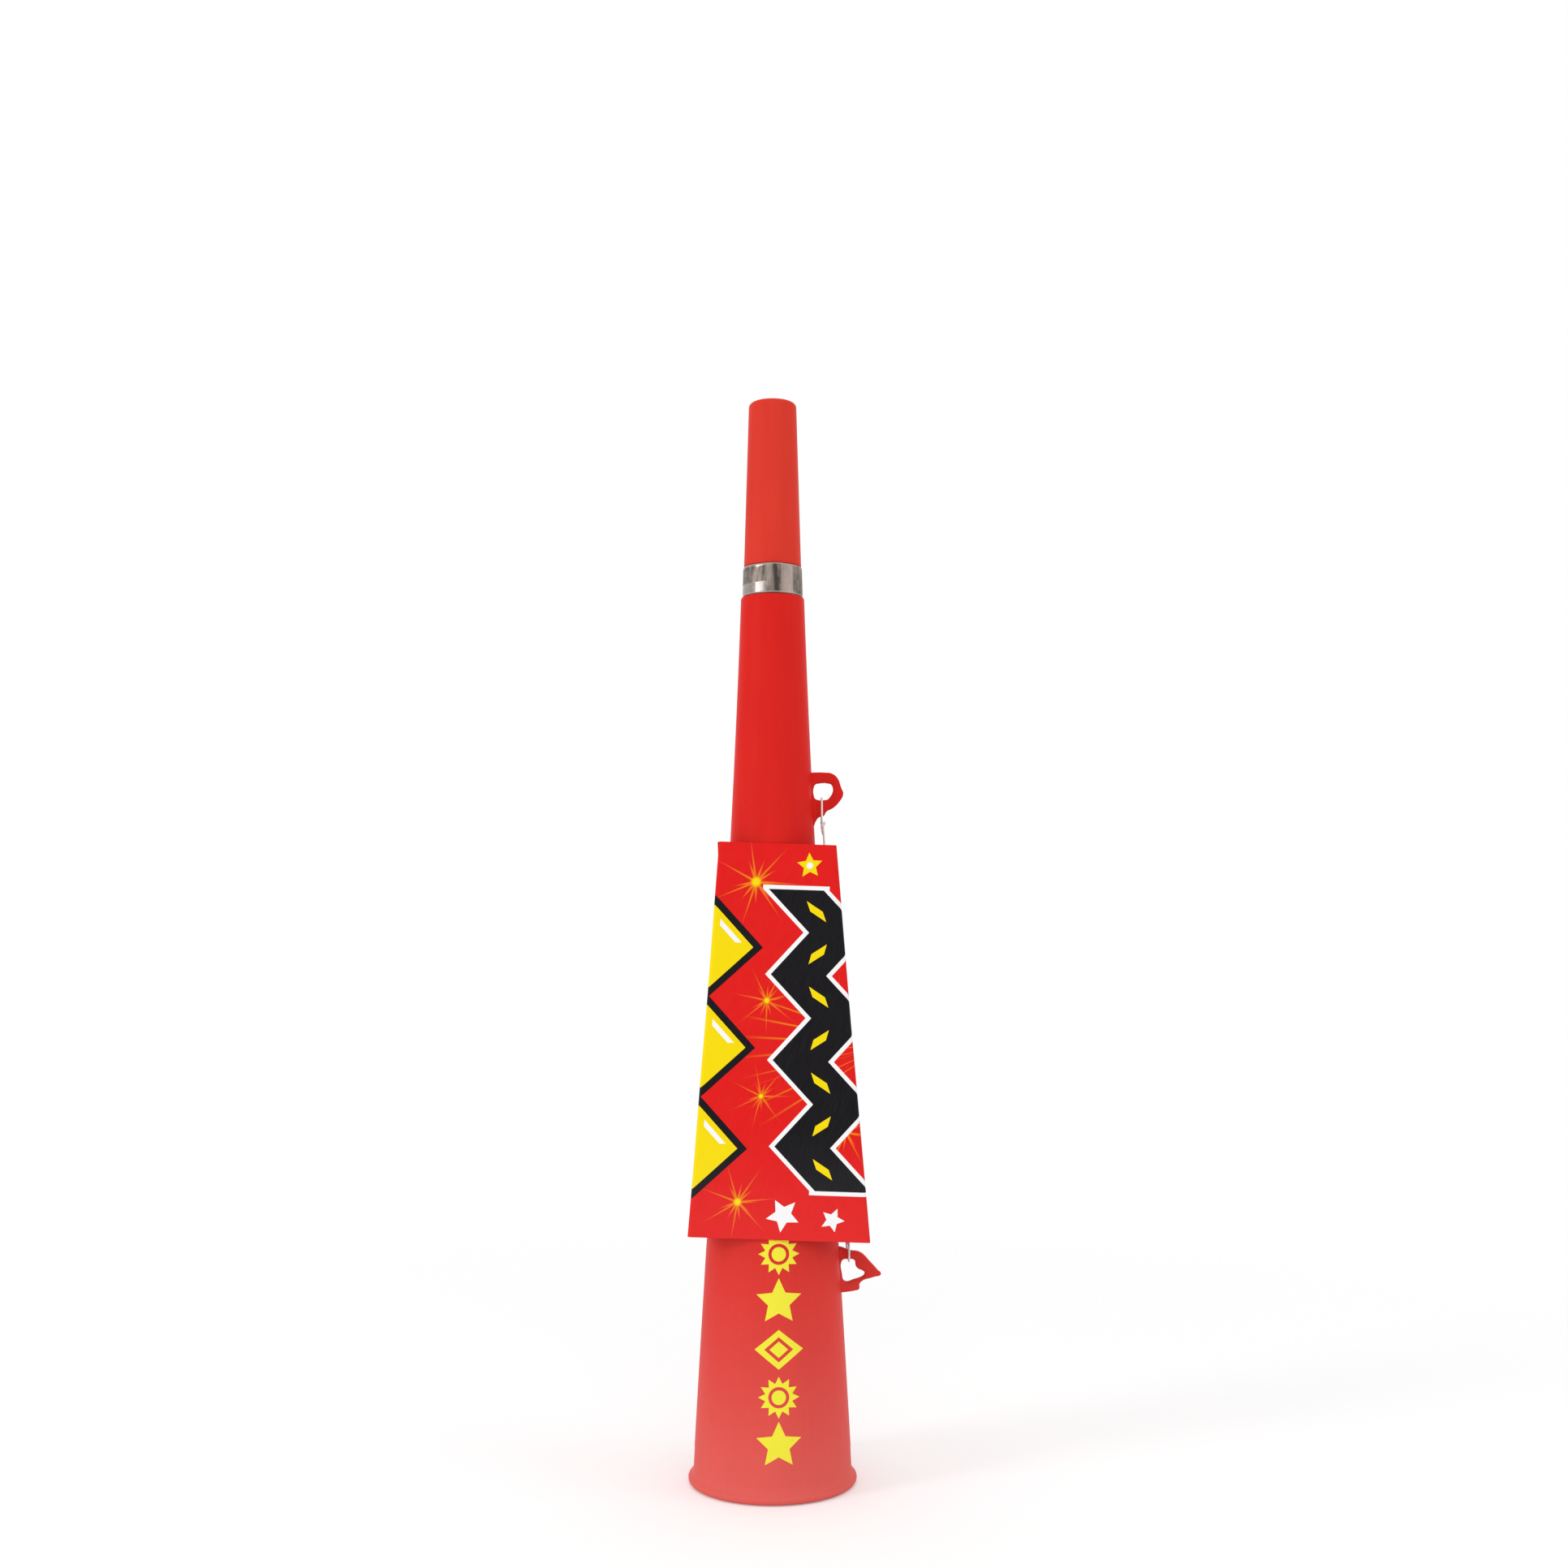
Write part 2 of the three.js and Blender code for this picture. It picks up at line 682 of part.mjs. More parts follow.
place("horn_body", hornBody(), horn);
place("mouthpiece", mouthpiece(), mouthRed);
place("ferrule_band", ferruleBand(), tinplate);
place("reed_holder", reedHolder(), reedPlastic);
place("reed_shallot", reedShallot(), reedPlastic);
place("reed_clamp", reedClamp(), reedPlastic);
place("reed_tongue", reedTongue(), brass);
place("flag", thickSheet(sheetLevels(woundPath, flagLevels), flagCloth), printedCloth);
place("flag_free_end", thickSheet(sheetLevels(freePath, flagLevels), flagCloth), printedCloth);
place("flag_sleeve", thickSheet(sheetLevels(pocketPath, pocketLevels), flagCloth), whiteCloth);
place("tie_string", tieString(), whiteCloth);

const rodLength = flagHeight - 2 * rodInset;
const rod = place(
  "flag_rod",
  turned(ringOutline(rodRadius - rodWall, rodRadius, -rodLength / 2, rodLength / 2), rodSegments),
  whiteRod,
);
rod.rotation.y = rodLean;
rod.position.set(rodX(flagFoot + flagHeight / 2), 0, flagFoot + flagHeight / 2);

export default instrument;
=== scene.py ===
from functools import partialmethod
from math import acos, atan, atan2, cos, hypot, pi, radians, sin
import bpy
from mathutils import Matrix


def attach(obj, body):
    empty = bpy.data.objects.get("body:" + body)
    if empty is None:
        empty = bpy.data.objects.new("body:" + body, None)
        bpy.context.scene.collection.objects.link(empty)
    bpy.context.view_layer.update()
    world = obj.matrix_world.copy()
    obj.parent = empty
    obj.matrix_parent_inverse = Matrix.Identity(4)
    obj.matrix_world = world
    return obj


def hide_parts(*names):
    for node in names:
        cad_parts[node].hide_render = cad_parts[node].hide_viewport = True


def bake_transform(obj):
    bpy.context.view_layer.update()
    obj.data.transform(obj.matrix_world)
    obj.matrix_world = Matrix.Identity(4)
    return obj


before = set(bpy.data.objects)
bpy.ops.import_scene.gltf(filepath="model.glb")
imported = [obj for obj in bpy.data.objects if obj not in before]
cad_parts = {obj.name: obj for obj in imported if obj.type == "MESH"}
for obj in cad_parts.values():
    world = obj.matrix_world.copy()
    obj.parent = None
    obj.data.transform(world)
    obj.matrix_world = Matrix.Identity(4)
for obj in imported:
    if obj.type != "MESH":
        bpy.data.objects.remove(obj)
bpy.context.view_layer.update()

from types import SimpleNamespace

import bmesh
import bpy
from mathutils import Matrix, Vector, noise
from mathutils.geometry import interpolate_bezier

mm = 0.001

# Horn body
# The horn is one moulding of red polypropylene: a long hollow cone, slimmer in the middle than
# a straight one, with a beaded rim round its bell and a socket in its top end. The yellow
# figures up its front are printed on the plastic.

axis_x = -3.7756 * mm
body_length, body_wall, body_top_radius = 276 * mm, 1.2 * mm, 9.8 * mm
bell_radius, bell_hollow = 24.6 * mm, 0.38
rim_height, rim_flare_height = 6 * mm, 3.1 * mm
bead_radius = 1.4 * mm
bead_centre = 26.35 * mm - bead_radius
top_rounding, inner_rounding = 0.4 * mm, 0.3 * mm
socket_radius, socket_depth, socket_slope = 8 * mm, 15 * mm, 2 * mm
socket_foot = body_length - socket_depth


def body_radius(z):
    """The horn's outer radius at a height."""
    t = (body_length - z) / (body_length - rim_height)
    return body_top_radius + (bell_radius - body_top_radius) * (t - bell_hollow * t * (1 - t) ** 2)


def arc(centre_r, centre_z, radius, start, stop, steps):
    """Points of a profile on part of a circle, from one angle to another in degrees."""
    angles = [radians(start + (stop - start) * i / steps) for i in range(steps + 1)]
    return [(centre_r + radius * cos(a), centre_z + radius * sin(a)) for a in angles]


def between(low, high, share):
    return low + (high - low) * share


def curve(first, corner, last, share):
    """A point of the short curve that leaves first towards the corner and ends at last."""
    return first * (1 - share) ** 2 + corner * (2 * share * (1 - share)) + last * share ** 2


def added(name, add, **settings):
    """A new object from one of the operators that add a shape."""
    bpy.ops.object.select_all(action="DESELECT")
    add(**settings)
    piece = bpy.context.object
    piece.name = piece.data.name = name
    return piece


def smooth(angle):
    """Smooths the active piece where its faces meet at less than this angle in degrees."""
    bpy.ops.object.shade_smooth_by_angle(angle=radians(angle))


def face_out(angle):
    """Turns all of the active piece's faces outwards, and smooths it."""
    bpy.ops.object.mode_set(mode="EDIT")
    bpy.ops.mesh.select_all(action="SELECT")
    bpy.ops.mesh.normals_make_consistent(inside=False)
    bpy.ops.object.mode_set(mode="OBJECT")
    smooth(angle)


def turn(name, profile, sides):
    """A closed round shell on the horn's axis: rings through the profile's points, joined end to end."""
    radius, height = profile[0]
    piece = added(
        name, bpy.ops.mesh.primitive_circle_add, vertices=sides, radius=radius, location=(axis_x, 0, height))
    bpy.ops.object.transform_apply()
    bpy.ops.object.mode_set(mode="EDIT")
    for next_radius, next_height in profile[1:]:
        rise = (0, 0, next_height - height)
        bpy.ops.mesh.extrude_region_move(TRANSFORM_OT_translate={"value": rise})
        grow = next_radius / radius
        bpy.ops.transform.resize(value=(grow, grow, 1), center_override=(axis_x, 0, next_height))
        radius, height = next_radius, next_height
    bpy.ops.mesh.select_mode(type="EDGE")
    bpy.ops.mesh.select_all(action="DESELECT")
    bpy.ops.mesh.select_non_manifold()
    bpy.ops.mesh.bridge_edge_loops()
    face_out(32)
    return piece


bead = arc(bead_centre, bead_radius, bead_radius, -90, 45, 12)
flare_corners = Vector(bead[-1]), Vector((bell_radius, rim_flare_height)), Vector((bell_radius, rim_height))
skin = [between(rim_height, body_length - top_rounding, i / 60) for i in range(1, 61)]
bore = [between(socket_foot - socket_slope, rim_height, i / 24) for i in range(25)]
horn_profile = (
    [(bell_radius - body_wall + inner_rounding, 0)]
    + bead
    + [curve(*flare_corners, i / 12) for i in range(1, 13)]
    + [(body_radius(z), z) for z in skin]
    + arc(body_radius(body_length) - top_rounding, body_length - top_rounding, top_rounding, 20, 90, 5)
    + arc(socket_radius + inner_rounding, body_length - inner_rounding, inner_rounding, 90, 180, 4)
    + [(socket_radius, between(body_length, socket_foot, share)) for share in (0.3, 0.7, 1)]
    + [(body_radius(z) - body_wall, z) for z in bore]
    + [(bell_radius - body_wall, inner_rounding)]
)
horn_shell = turn("horn_shell", horn_profile, sides=144)


def linear(red, green, blue):
    """A colour of 0 to 255 a channel, as the shaders want it."""
    channels = []
    for value in (red / 255, green / 255, blue / 255):
        channels.append(value / 12.92 if value <= 0.04045 else ((value + 0.055) / 1.055) ** 2.4)
    return (*channels, 1)


def put(thing, **values):
    """Sets these attributes of a thing."""
    for key, value in values.items():
        setattr(thing, key, value)


class Sock:
    """What a socket gives. Sums on it add Math nodes, and node() adds a node of any other kind."""

    def __init__(self, tree, plug=None):
        self.tree, self.plug = tree, plug

    def node(self, kind, inputs=None, output=0, **settings):
        made = self.tree.nodes.new("ShaderNode" + kind)
        put(made, **settings)
        for key, value in (inputs or {}).items():
            if isinstance(value, Sock):
                self.tree.links.new(value.plug, made.inputs[key])
            else:
                made.inputs[key].default_value = value
        return Sock(self.tree, made.outputs[output])

    def into(self, socket):
        self.tree.links.new(self.plug, socket)

    def maths(self, operation, *values):
        return self.node("Math", dict(enumerate((self, *values))), operation=operation)

    __add__ = __radd__ = partialmethod(maths, "ADD")
    __sub__ = partialmethod(maths, "SUBTRACT")
    __mul__ = __rmul__ = partialmethod(maths, "MULTIPLY")
    __truediv__ = partialmethod(maths, "DIVIDE")
    __abs__ = partialmethod(maths, "ABSOLUTE")
    below = partialmethod(maths, "LESS_THAN")
    above = partialmethod(maths, "GREATER_THAN")

    def __rsub__(self, other):
        return self.node("Math", {0: other, 1: self}, operation="SUBTRACT")

    def fade(self, low, high):
        """0 before low, 1 after high, and a smooth step between them."""
        inputs = {"Value": self, "From Min": low, "From Max": high}
        return self.node("MapRange", inputs, interpolation_type="SMOOTHSTEP")

    def mix(self, first, second):
        """first where this is 0, second where it is 1."""
        return self.node("Mix", {0: self, 6: first, 7: second}, 2, data_type="RGBA")

    def grain(self, scale, detail, rough=0.5):
        """Noise over this vector, about 0.5 at its middle."""
        inputs = {"Vector": self, "Scale": scale, "Detail": detail, "Roughness": rough}
        return self.node("TexNoise", inputs)

    def stretched(self, x, y, z):
        return self.node("Mapping", {"Vector": self, "Scale": (x, y, z)})


def new_finish(name, **fixed):
    """A material with these values on its shader, the shader, and the place on the piece as a socket."""
    material = bpy.data.materials.new(name)
    material.use_nodes = True
    shader = material.node_tree.nodes["Principled BSDF"]
    for socket, value in fixed.items():
        shader.inputs[socket.replace("_", " ")].default_value = value
    return material, shader, Sock(material.node_tree).node("TexCoord", output="Object")


def finish(shader, colour, roughness, relief):
    """Links what changes over a surface to its shader. The relief is in millimetres."""
    colour.into(shader.inputs["Base Color"])
    roughness.into(shader.inputs["Roughness"])
    relief.node("Bump", {"Distance": mm, "Height": relief}).into(shader.inputs["Normal"])


def dressed(piece, material, body=None, node=None):
    """Gives a piece its material and its body, and hides the CAD node that it stands for."""
    piece.data.materials.clear()
    piece.data.materials.append(material)
    if node:
        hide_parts(node)
    if body:
        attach(piece, body)


def parts_of(vector):
    """The x, y and z of a vector socket, in millimetres."""
    outputs = vector.node("SeparateXYZ", {0: vector}).plug.node.outputs
    return [Sock(vector.tree, outputs[i]) * 1000 for i in range(3)]


def far(across, up):
    """How far a place is from the middle."""
    return (across * across + up * up).maths("SQRT")


def star(across, up, points, tip, notch, lean=0.0):
    """How far outside a star's edge a place is. Tip and notch are the two distances from its middle."""
    half = pi / points
    folded = abs((across.maths("ARCTAN2", up) + lean).maths("WRAP", half, -half))
    distance = far(across, up)
    edge = Vector((notch * cos(half) - tip, notch * sin(half))).normalized()
    out, along = folded.maths("COSINE") * distance - tip, folded.maths("SINE") * distance
    return out * edge.y - along * edge.x


def lozenge(across, up, half_width, half_height):
    """How far outside a lozenge's edge a place is."""
    slant = hypot(1 / half_width, 1 / half_height)
    return (abs(across) / half_width + abs(up) / half_height - 1) / slant


def plastic(name, light, deep, roughness, gloss):
    """Moulded plastic: faint clouds and flow marks in its colour, an uneven gloss and a shallow ripple."""
    material, shader, place = new_finish(name, Specular_IOR_Level=gloss)
    clouds = place.stretched(1, 1, 0.35).grain(70, 3)
    flow = place.stretched(1, 1, 0.03).grain(900, 2)
    colour = (clouds * 0.7 + flow * 0.3).fade(0.32, 0.68).mix(light, deep)
    specks = place.grain(2600, 0).fade(0.80, 0.84)
    colour = (specks * 0.35).mix(colour, tuple(0.45 * c for c in deep[:3]) + (1,))
    ripple = place.grain(420, 1) * 0.020 + flow * 0.008 + place.grain(3200, 1) * 0.004
    finish(shader, colour, clouds * 0.10 + flow * 0.06 + (roughness - 0.08), ripple)
    return material, shader, place, colour


# painted glare: a pale tint that the horn's colour is mixed towards lower down, most near the bell
bell_glare_colour = linear(255, 247, 234)
bell_glare_height, bell_glare_share = 150.0, 0.119
print_yellow = linear(247, 239, 68)
figure_middle, figure_step, first_figure = 2.0, 14.2, 17.5
figure_star, figure_burst = (7.1, 3.4), (6.2, 4.2)
figure_lozenge, inner_lozenge = (7.3, 5.9), (3.6, 3.1)
ring_radius, half_line = 2.65, 0.5

horn_plastic, shader, place, colour = plastic(
    "horn_plastic", linear(225, 41, 34), linear(221, 37, 32), roughness=0.46, gloss=0.04)
x, y, z = parts_of(place)
# painted glare: the colour is mixed towards the pale tint, more so towards the bell
towards_bell = (1 - z / bell_glare_height).maths("MAXIMUM", 0.0).maths("POWER", 2.5)
colour = (towards_bell * bell_glare_share).mix(colour, bell_glare_colour)
across = x + axis_x / -mm - figure_middle
figures = 0
for index in range(6):
    up = z - (first_figure + figure_step * index)
    if index % 3 == 0:
        figure = star(across, up, 5, *figure_star).below(0)
    elif index % 3 == 1:
        line = abs(far(across, up) - ring_radius).below(half_line)
        figure = star(across, up, 12, *figure_burst).below(0) * (1 - line)
    else:
        line = abs(lozenge(across, up, *inner_lozenge)).below(half_line)
        figure = lozenge(across, up, *figure_lozenge).below(0) * (1 - line)
    figures = figure + figures
worn = place.grain(1500, 3).fade(0.24, 0.30)
printed = figures * y.below(0) * (worn * 0.35 + 0.65)
printed.mix(colour, print_yellow).into(shader.inputs["Base Color"])
dressed(horn_shell, horn_plastic, "horn", "horn_body")

# Parting lines
# Where the two halves of the mould met, a hair of plastic stands proud up each side of the
# horn, from the rim to the top, in one with it.

line_radius, line_proud = 0.22 * mm, 0.09 * mm
for name, side in (("mould_line_loops", 1), ("mould_line_plain", -1)):
    piece = added(name, bpy.ops.curve.primitive_nurbs_path_add)
    piece.data.splines.clear()
    spline = piece.data.splines.new("POLY")
    spline.points.add(len(skin) - 1)
    for point, height in zip(spline.points, skin):
        out = body_radius(height) - line_radius + line_proud
        point.co = (axis_x + side * out, 0, height, 1)
    put(piece.data, bevel_depth=line_radius, bevel_resolution=2, use_fill_caps=True)
    bpy.ops.object.convert(target="MESH")
    smooth(50)
    dressed(piece, horn_plastic, "horn")

# Side loops
# Two small eyelets are moulded on the parting line, one above the flag and one below it. The
# string through the flag's rod is tied to them. Each is a plate with rounded edges, a little
# thicker at its root.

loop_half_thickness, loop_bevel = 1.5 * mm, 0.55 * mm
root_swell, root_reach = 0.24, 1.8 * mm
upper_loop = SimpleNamespace(
    foot=206.9 * mm, height=14.5 * mm, reach=9.7 * mm,
    outline=[
        (39, 100), (62, 98), (79, 90), (94, 66), (100, 54), (86, 36),
        (66.5, 23.5), (46, 16), (38, 7.5), (20, 3), (11, -6), (3, -16),
    ],
    hole=[
        (5, 68), (11, 75), (22, 77), (50, 77), (61, 74.5), (66.5, 67),
        (65, 57), (58, 48), (48, 41.5), (38, 40.5), (20, 40.5), (10, 43), (5, 50),
    ],
)
lower_loop = SimpleNamespace(
    foot=58.9 * mm, height=14 * mm, reach=12.8 * mm,
    outline=[
        (2, 100), (22, 93), (49, 88.5), (75, 66), (94, 47), (100, 41),
        (82, 34), (49, 21), (46, 6.4), (40, 4.5), (7, 0),
    ],
    hole=[
        (3, 67), (8, 73), (20, 74), (33, 73), (37, 68), (38, 60), (44, 53),
        (54, 49), (60, 44), (58, 37), (49, 32), (34, 27.5), (14, 23), (8, 27),
        (5, 40),
    ],
)


def loop_points(loop, shares):
    """A loop's outline or hole: how far out from the axis and how high. The tables say it in hundredths."""
    root = body_radius(loop.foot + loop.height / 2)
    return [(root + loop.reach * out / 100, loop.foot + loop.height * up / 100) for out, up in shares]


for name, loop in (("upper_loop", upper_loop), ("lower_loop", lower_loop)):
    outline = loop_points(loop, loop.outline)
    inside = [(body_radius(h) - body_wall / 2, h) for h in (outline[-1][1], outline[0][1])]
    piece = added(name, bpy.ops.curve.primitive_bezier_circle_add)
    shape = piece.data
    shape.splines.clear()
    for points, corners in ((outline + inside, 2), (loop_points(loop, loop.hole), 0)):
        spline = shape.splines.new("BEZIER")
        spline.use_cyclic_u = True
        spline.resolution_u = 6
        spline.bezier_points.add(len(points) - 1)
        for i, (out, height) in enumerate(points):
            point = spline.bezier_points[i]
            point.co = (axis_x + out, height, 0)
            sharp = i >= len(points) - corners
            point.handle_left_type = point.handle_right_type = "VECTOR" if sharp else "AUTO"
    put(shape, dimensions="2D", fill_mode="BOTH", offset=-loop_bevel,
        extrude=loop_half_thickness - loop_bevel, bevel_depth=loop_bevel, bevel_resolution=3)
    bpy.ops.object.convert(target="MESH")
    piece.rotation_euler = (pi / 2, 0, 0)
    bpy.ops.object.transform_apply()
    for vertex in piece.data.vertices:
        root_gap = vertex.co.x - axis_x - body_radius(vertex.co.z)
        swell = max(0.0, 1 - max(root_gap, 0) / root_reach)
        vertex.co.y *= 1 + root_swell * swell * swell
    bpy.ops.object.mode_set(mode="EDIT")
    bpy.ops.mesh.select_all(action="SELECT")
    bpy.ops.mesh.remove_doubles(threshold=0.01 * mm)
    face_out(40)
    dressed(piece, horn_plastic, "horn")

# Reed holder
# A plug of off-white plastic joins the horn to the mouthpiece: a tube that pushes into the
# horn's socket, a collar under the metal band, a floor that holds the reed, and a tube above.

seat_gap = 0.3 * mm
band_foot = body_length + seat_gap
band_top = band_foot + 9 * mm
mouth_foot = band_top + seat_gap
neck_foot = mouth_foot - 2 * mm
collar_radius, collar_top = 8.55 * mm, neck_foot - seat_gap
floor_foot = collar_top - 2 * mm
lower_tube_foot, lower_tube_radius, lower_tube_bore = body_length - 14 * mm, 7.7 * mm, 6.3 * mm
upper_tube_top, upper_tube_radius, upper_tube_bore = mouth_foot + 12.5 * mm, 7.05 * mm, 5.6 * mm
floor_hole = 1.65 * mm
trough_radius, trough_face = 3.3 * mm, 1.2 * mm


def rounded_corner(before, corner, after, room, share):
    """A point of the curve that rounds a corner, from this room before it to as much after it."""
    first = corner + (before - corner).normalized() * room
    last = corner + (after - corner).normalized() * room
    return curve(first, corner, last, share)


def soft_corners(corners, rounding):
    """The outline through these corners, each one rounded by a short curve."""
    rounded = []
    for i, corner in enumerate(corners):
        here = Vector(corner)
        before, after = Vector(corners[i - 1]), Vector(corners[(i + 1) % len(corners)])
        room = min(rounding, (before - here).length * 0.4, (after - here).length * 0.4)
        rounded += [rounded_corner(before, here, after, room, k / 3) for k in range(4)]
    return rounded


def d_bar(name, radius, face, foot, height, sides=64):
    """A round bar on the axis with a flat face cut along its front."""
    piece = added(
        name, bpy.ops.mesh.primitive_cylinder_add, vertices=sides, radius=radius, depth=height,
        location=(axis_x, 0, foot + height / 2))
    bpy.ops.object.transform_apply()
    bpy.ops.object.mode_set(mode="EDIT")
    bpy.ops.mesh.select_all(action="SELECT")
    bpy.ops.mesh.bisect(
        plane_co=(axis_x, -face, foot), plane_no=(0, -1, 0), clear_outer=True, use_fill=True)
    bpy.ops.object.mode_set(mode="OBJECT")
    return piece


def use(piece, kind, **settings):
    """Adds a modifier of this kind to the piece and applies it."""
    bpy.ops.object.select_all(action="DESELECT")
    bpy.context.view_layer.objects.active = piece
    piece.select_set(True)
    modifier = piece.modifiers.new(kind.lower(), kind)
    put(modifier, **settings)
    bpy.ops.object.modifier_apply(modifier=modifier.name)


def cut(piece, tool):
    """Takes the tool's shape out of the piece, and the tool away."""
    use(piece, "BOOLEAN", object=tool, operation="DIFFERENCE", solver="EXACT")
    bpy.data.objects.remove(tool)


holder_corners = [
    (lower_tube_bore, lower_tube_foot), (lower_tube_radius, lower_tube_foot), (lower_tube_radius, band_foot),
    (collar_radius, band_foot), (collar_radius, collar_top), (upper_tube_radius, collar_top),
    (upper_tube_radius, upper_tube_top), (upper_tube_bore, upper_tube_top), (upper_tube_bore, collar_top),
    (floor_hole, collar_top), (floor_hole, floor_foot), (lower_tube_bore, floor_foot),
]
holder = turn("reed_plug", soft_corners(holder_corners, 0.25 * mm), sides=96)
cut(holder, d_bar(
    "trough_way", trough_radius + seat_gap, trough_face + seat_gap, floor_foot - mm, 4 * mm))
reed_plastic = plastic(
    "reed_plastic", linear(231, 227, 214), linear(221, 214, 196), roughness=0.46, gloss=0.4)[0]
dressed(holder, reed_plastic, "reed_unit", "reed_holder")

# Reed trough
# The reed's body is a half-round plastic trough, closed at its tip, with a slot along its flat
# face that the tongue beats against.


def bevel(piece, width, segments=2):
    """Rounds the piece's hard edges."""
    use(piece, "BEVEL", width=width, segments=segments, limit_method="ANGLE", angle_limit=radians(50))


trough_foot, trough_length, trough_wall = floor_foot - 6 * mm, 40 * mm, 1.1 * mm
slot_width, slot_length = 2.6 * mm, 24 * mm
trough = d_bar("reed_trough", trough_radius, trough_face, trough_foot, trough_length)
bore_top = trough_foot + trough_length - trough_wall
bore_face = trough_face - trough_wall / 2
cut(trough, d_bar(
    "trough_bore", trough_radius - trough_wall, bore_face, trough_foot - mm, bore_top - trough_foot + mm))
slot_tool = added(
    "trough_slot", bpy.ops.mesh.primitive_cube_add, size=1,
    location=(axis_x, -trough_face, bore_top - slot_length / 2))
slot_tool.scale = (slot_width, 2 * trough_face, slot_length)
cut(trough, slot_tool)
bevel(trough, 0.12 * mm)
smooth(35)
dressed(trough, reed_plastic, "reed_unit", "reed_shallot")

# Reed ring
# A plastic ring is pressed on over the trough and pins the tongue's root to it.

clamp_foot, clamp_height, clamp_radius = collar_top + seat_gap, 4 * mm, 4.9 * mm
tongue_thickness = 0.25 * mm
tongue_back = trough_face + seat_gap
clamp = d_bar("reed_ring", clamp_radius, 2 * clamp_radius, clamp_foot, clamp_height, 72)
cut(clamp, d_bar(
    "ring_hole", trough_radius + seat_gap, tongue_back + tongue_thickness + seat_gap,
    clamp_foot - mm, clamp_height + 2 * mm))
bevel(clamp, 0.25 * mm, 3)
smooth(35)
dressed(clamp, reed_plastic, "reed_unit", "reed_clamp")

# Reed tongue
# A thin brass strip lies along the slot and curls away from it towards its tip. It sounds the
# horn by closing the slot at every beat.


def grid(name, columns, rows):
    return added(name, bpy.ops.mesh.primitive_grid_add, x_subdivisions=columns, y_subdivisions=rows, size=1)


tongue_width, tongue_length, tongue_curl = 4.4 * mm, 30 * mm, 0.8 * mm
tongue = grid("brass_tongue", 6, 40)
for vertex in tongue.data.vertices:
    along = vertex.co.y + 0.5
    vertex.co = (
        axis_x + vertex.co.x * tongue_width,
        -(tongue_back + tongue_thickness / 2 + tongue_curl * along ** 3),
        clamp_foot + tongue_length * along,
    )
use(tongue, "SOLIDIFY", thickness=tongue_thickness, offset=0)
bevel(tongue, 0.05 * mm)
smooth(35)

reed_brass, shader, place = new_finish("reed_brass", Metallic=1.0)
brushed = place.stretched(1, 1, 0.04).grain(5200, 2)
stains = place.grain(260, 3)
colour = (stains * 0.6 + brushed * 0.4).fade(0.35, 0.7).mix(linear(226, 186, 92), linear(190, 146, 66))
finish(shader, colour, brushed * 0.16 + stains * 0.1 + 0.16, brushed * 0.01)
dressed(tongue, reed_brass, "tongue", "reed_tongue")

# Metal band
# A strip of tinplate is rolled round the joint, its end lapped over its start at the front.
# Its edges are turned in a hair, and it has the dents and drawn streaks of thin rolled tin.

band_sheet = 0.35 * mm
band_foot_radius, band_top_radius = 9.45 * mm, 9.2 * mm
band_lap, band_lap_step = 2.4 * mm, 0.5 * mm
band_start = radians(-86)
edge_turn, edge_share = 0.13 * mm, 0.07
dent_depth, dents_round, dents_up, dent_seed = 0.05 * mm, 2.2, 0.9, 3


def ease(value):
    """A smooth step from 0 to 1, while the value goes from 0 to 1."""
    value = min(max(value, 0), 1)
    return value * value * (3 - 2 * value)


band = grid("tin_band", 260, 20)
for vertex in band.data.vertices:
    along, up = vertex.co.x + 0.5, vertex.co.y + 0.5
    middle = between(band_foot_radius, band_top_radius, up) - band_sheet / 2
    lap = band_lap / middle
    angle = (2 * pi + lap) * along
    lapped = ease((angle - (2 * pi - 2 * lap)) / (2 * lap))
    turned_in = edge_turn * max(0.0, 1 - min(up, 1 - up) / edge_share) ** 2
    spot = Vector((cos(angle) * dents_round, sin(angle) * dents_round, up * dents_up + dent_seed))
    dent = dent_depth * abs(noise.noise(spot) * (1 - lapped))
    radius = middle + band_lap_step * lapped - turned_in - dent
    angle += band_start
    vertex.co = (
        axis_x + radius * cos(angle), radius * sin(angle), between(band_foot, band_top, up))
use(band, "SOLIDIFY", thickness=band_sheet, offset=0)
bevel(band, 0.08 * mm)
face_out(35)

# heights in millimetres, and angles from the front in radians
reflection_panel_left, reflection_panel_right = 0.22, 0.72
polish_highlight_foot, polish_highlight_top, polish_highlight_left = 279.9, 284.8, -0.25
edge_highlight_foot, edge_highlight_top = 276.45, 284.85
dark_reflection_angle, dark_reflection_slant, dark_reflection_middle = 0.12, 0.008, 280.5

tinplate, shader, place = new_finish("tinplate", Metallic=1.0)
x, y, z = parts_of(place)
around = (x + axis_x / -mm).maths("ARCTAN2", -1 * y)
sideways = place.node("CombineXYZ", {0: around, 1: z * 0.02})
streaks = sideways.grain(5.5, 3, 0.6)
fine_streaks = sideways.grain(34, 2, 0.6)
smudges = place.grain(330, 3, 0.6)
tone = (streaks * 0.55 + fine_streaks * 0.2 + smudges * 0.35).fade(0.36, 0.74)
colour = tone.mix(linear(72, 65, 60), linear(152, 139, 131))
# painted reflection: a paler panel right of the front, where the band would mirror the fill lamp
fill_reflection_panel = (around - reflection_panel_left).fade(0, 0.1) * (1 - (around - reflection_panel_right).fade(0, 0.08))
colour = (fill_reflection_panel * 0.55).mix(colour, linear(168, 152, 144))
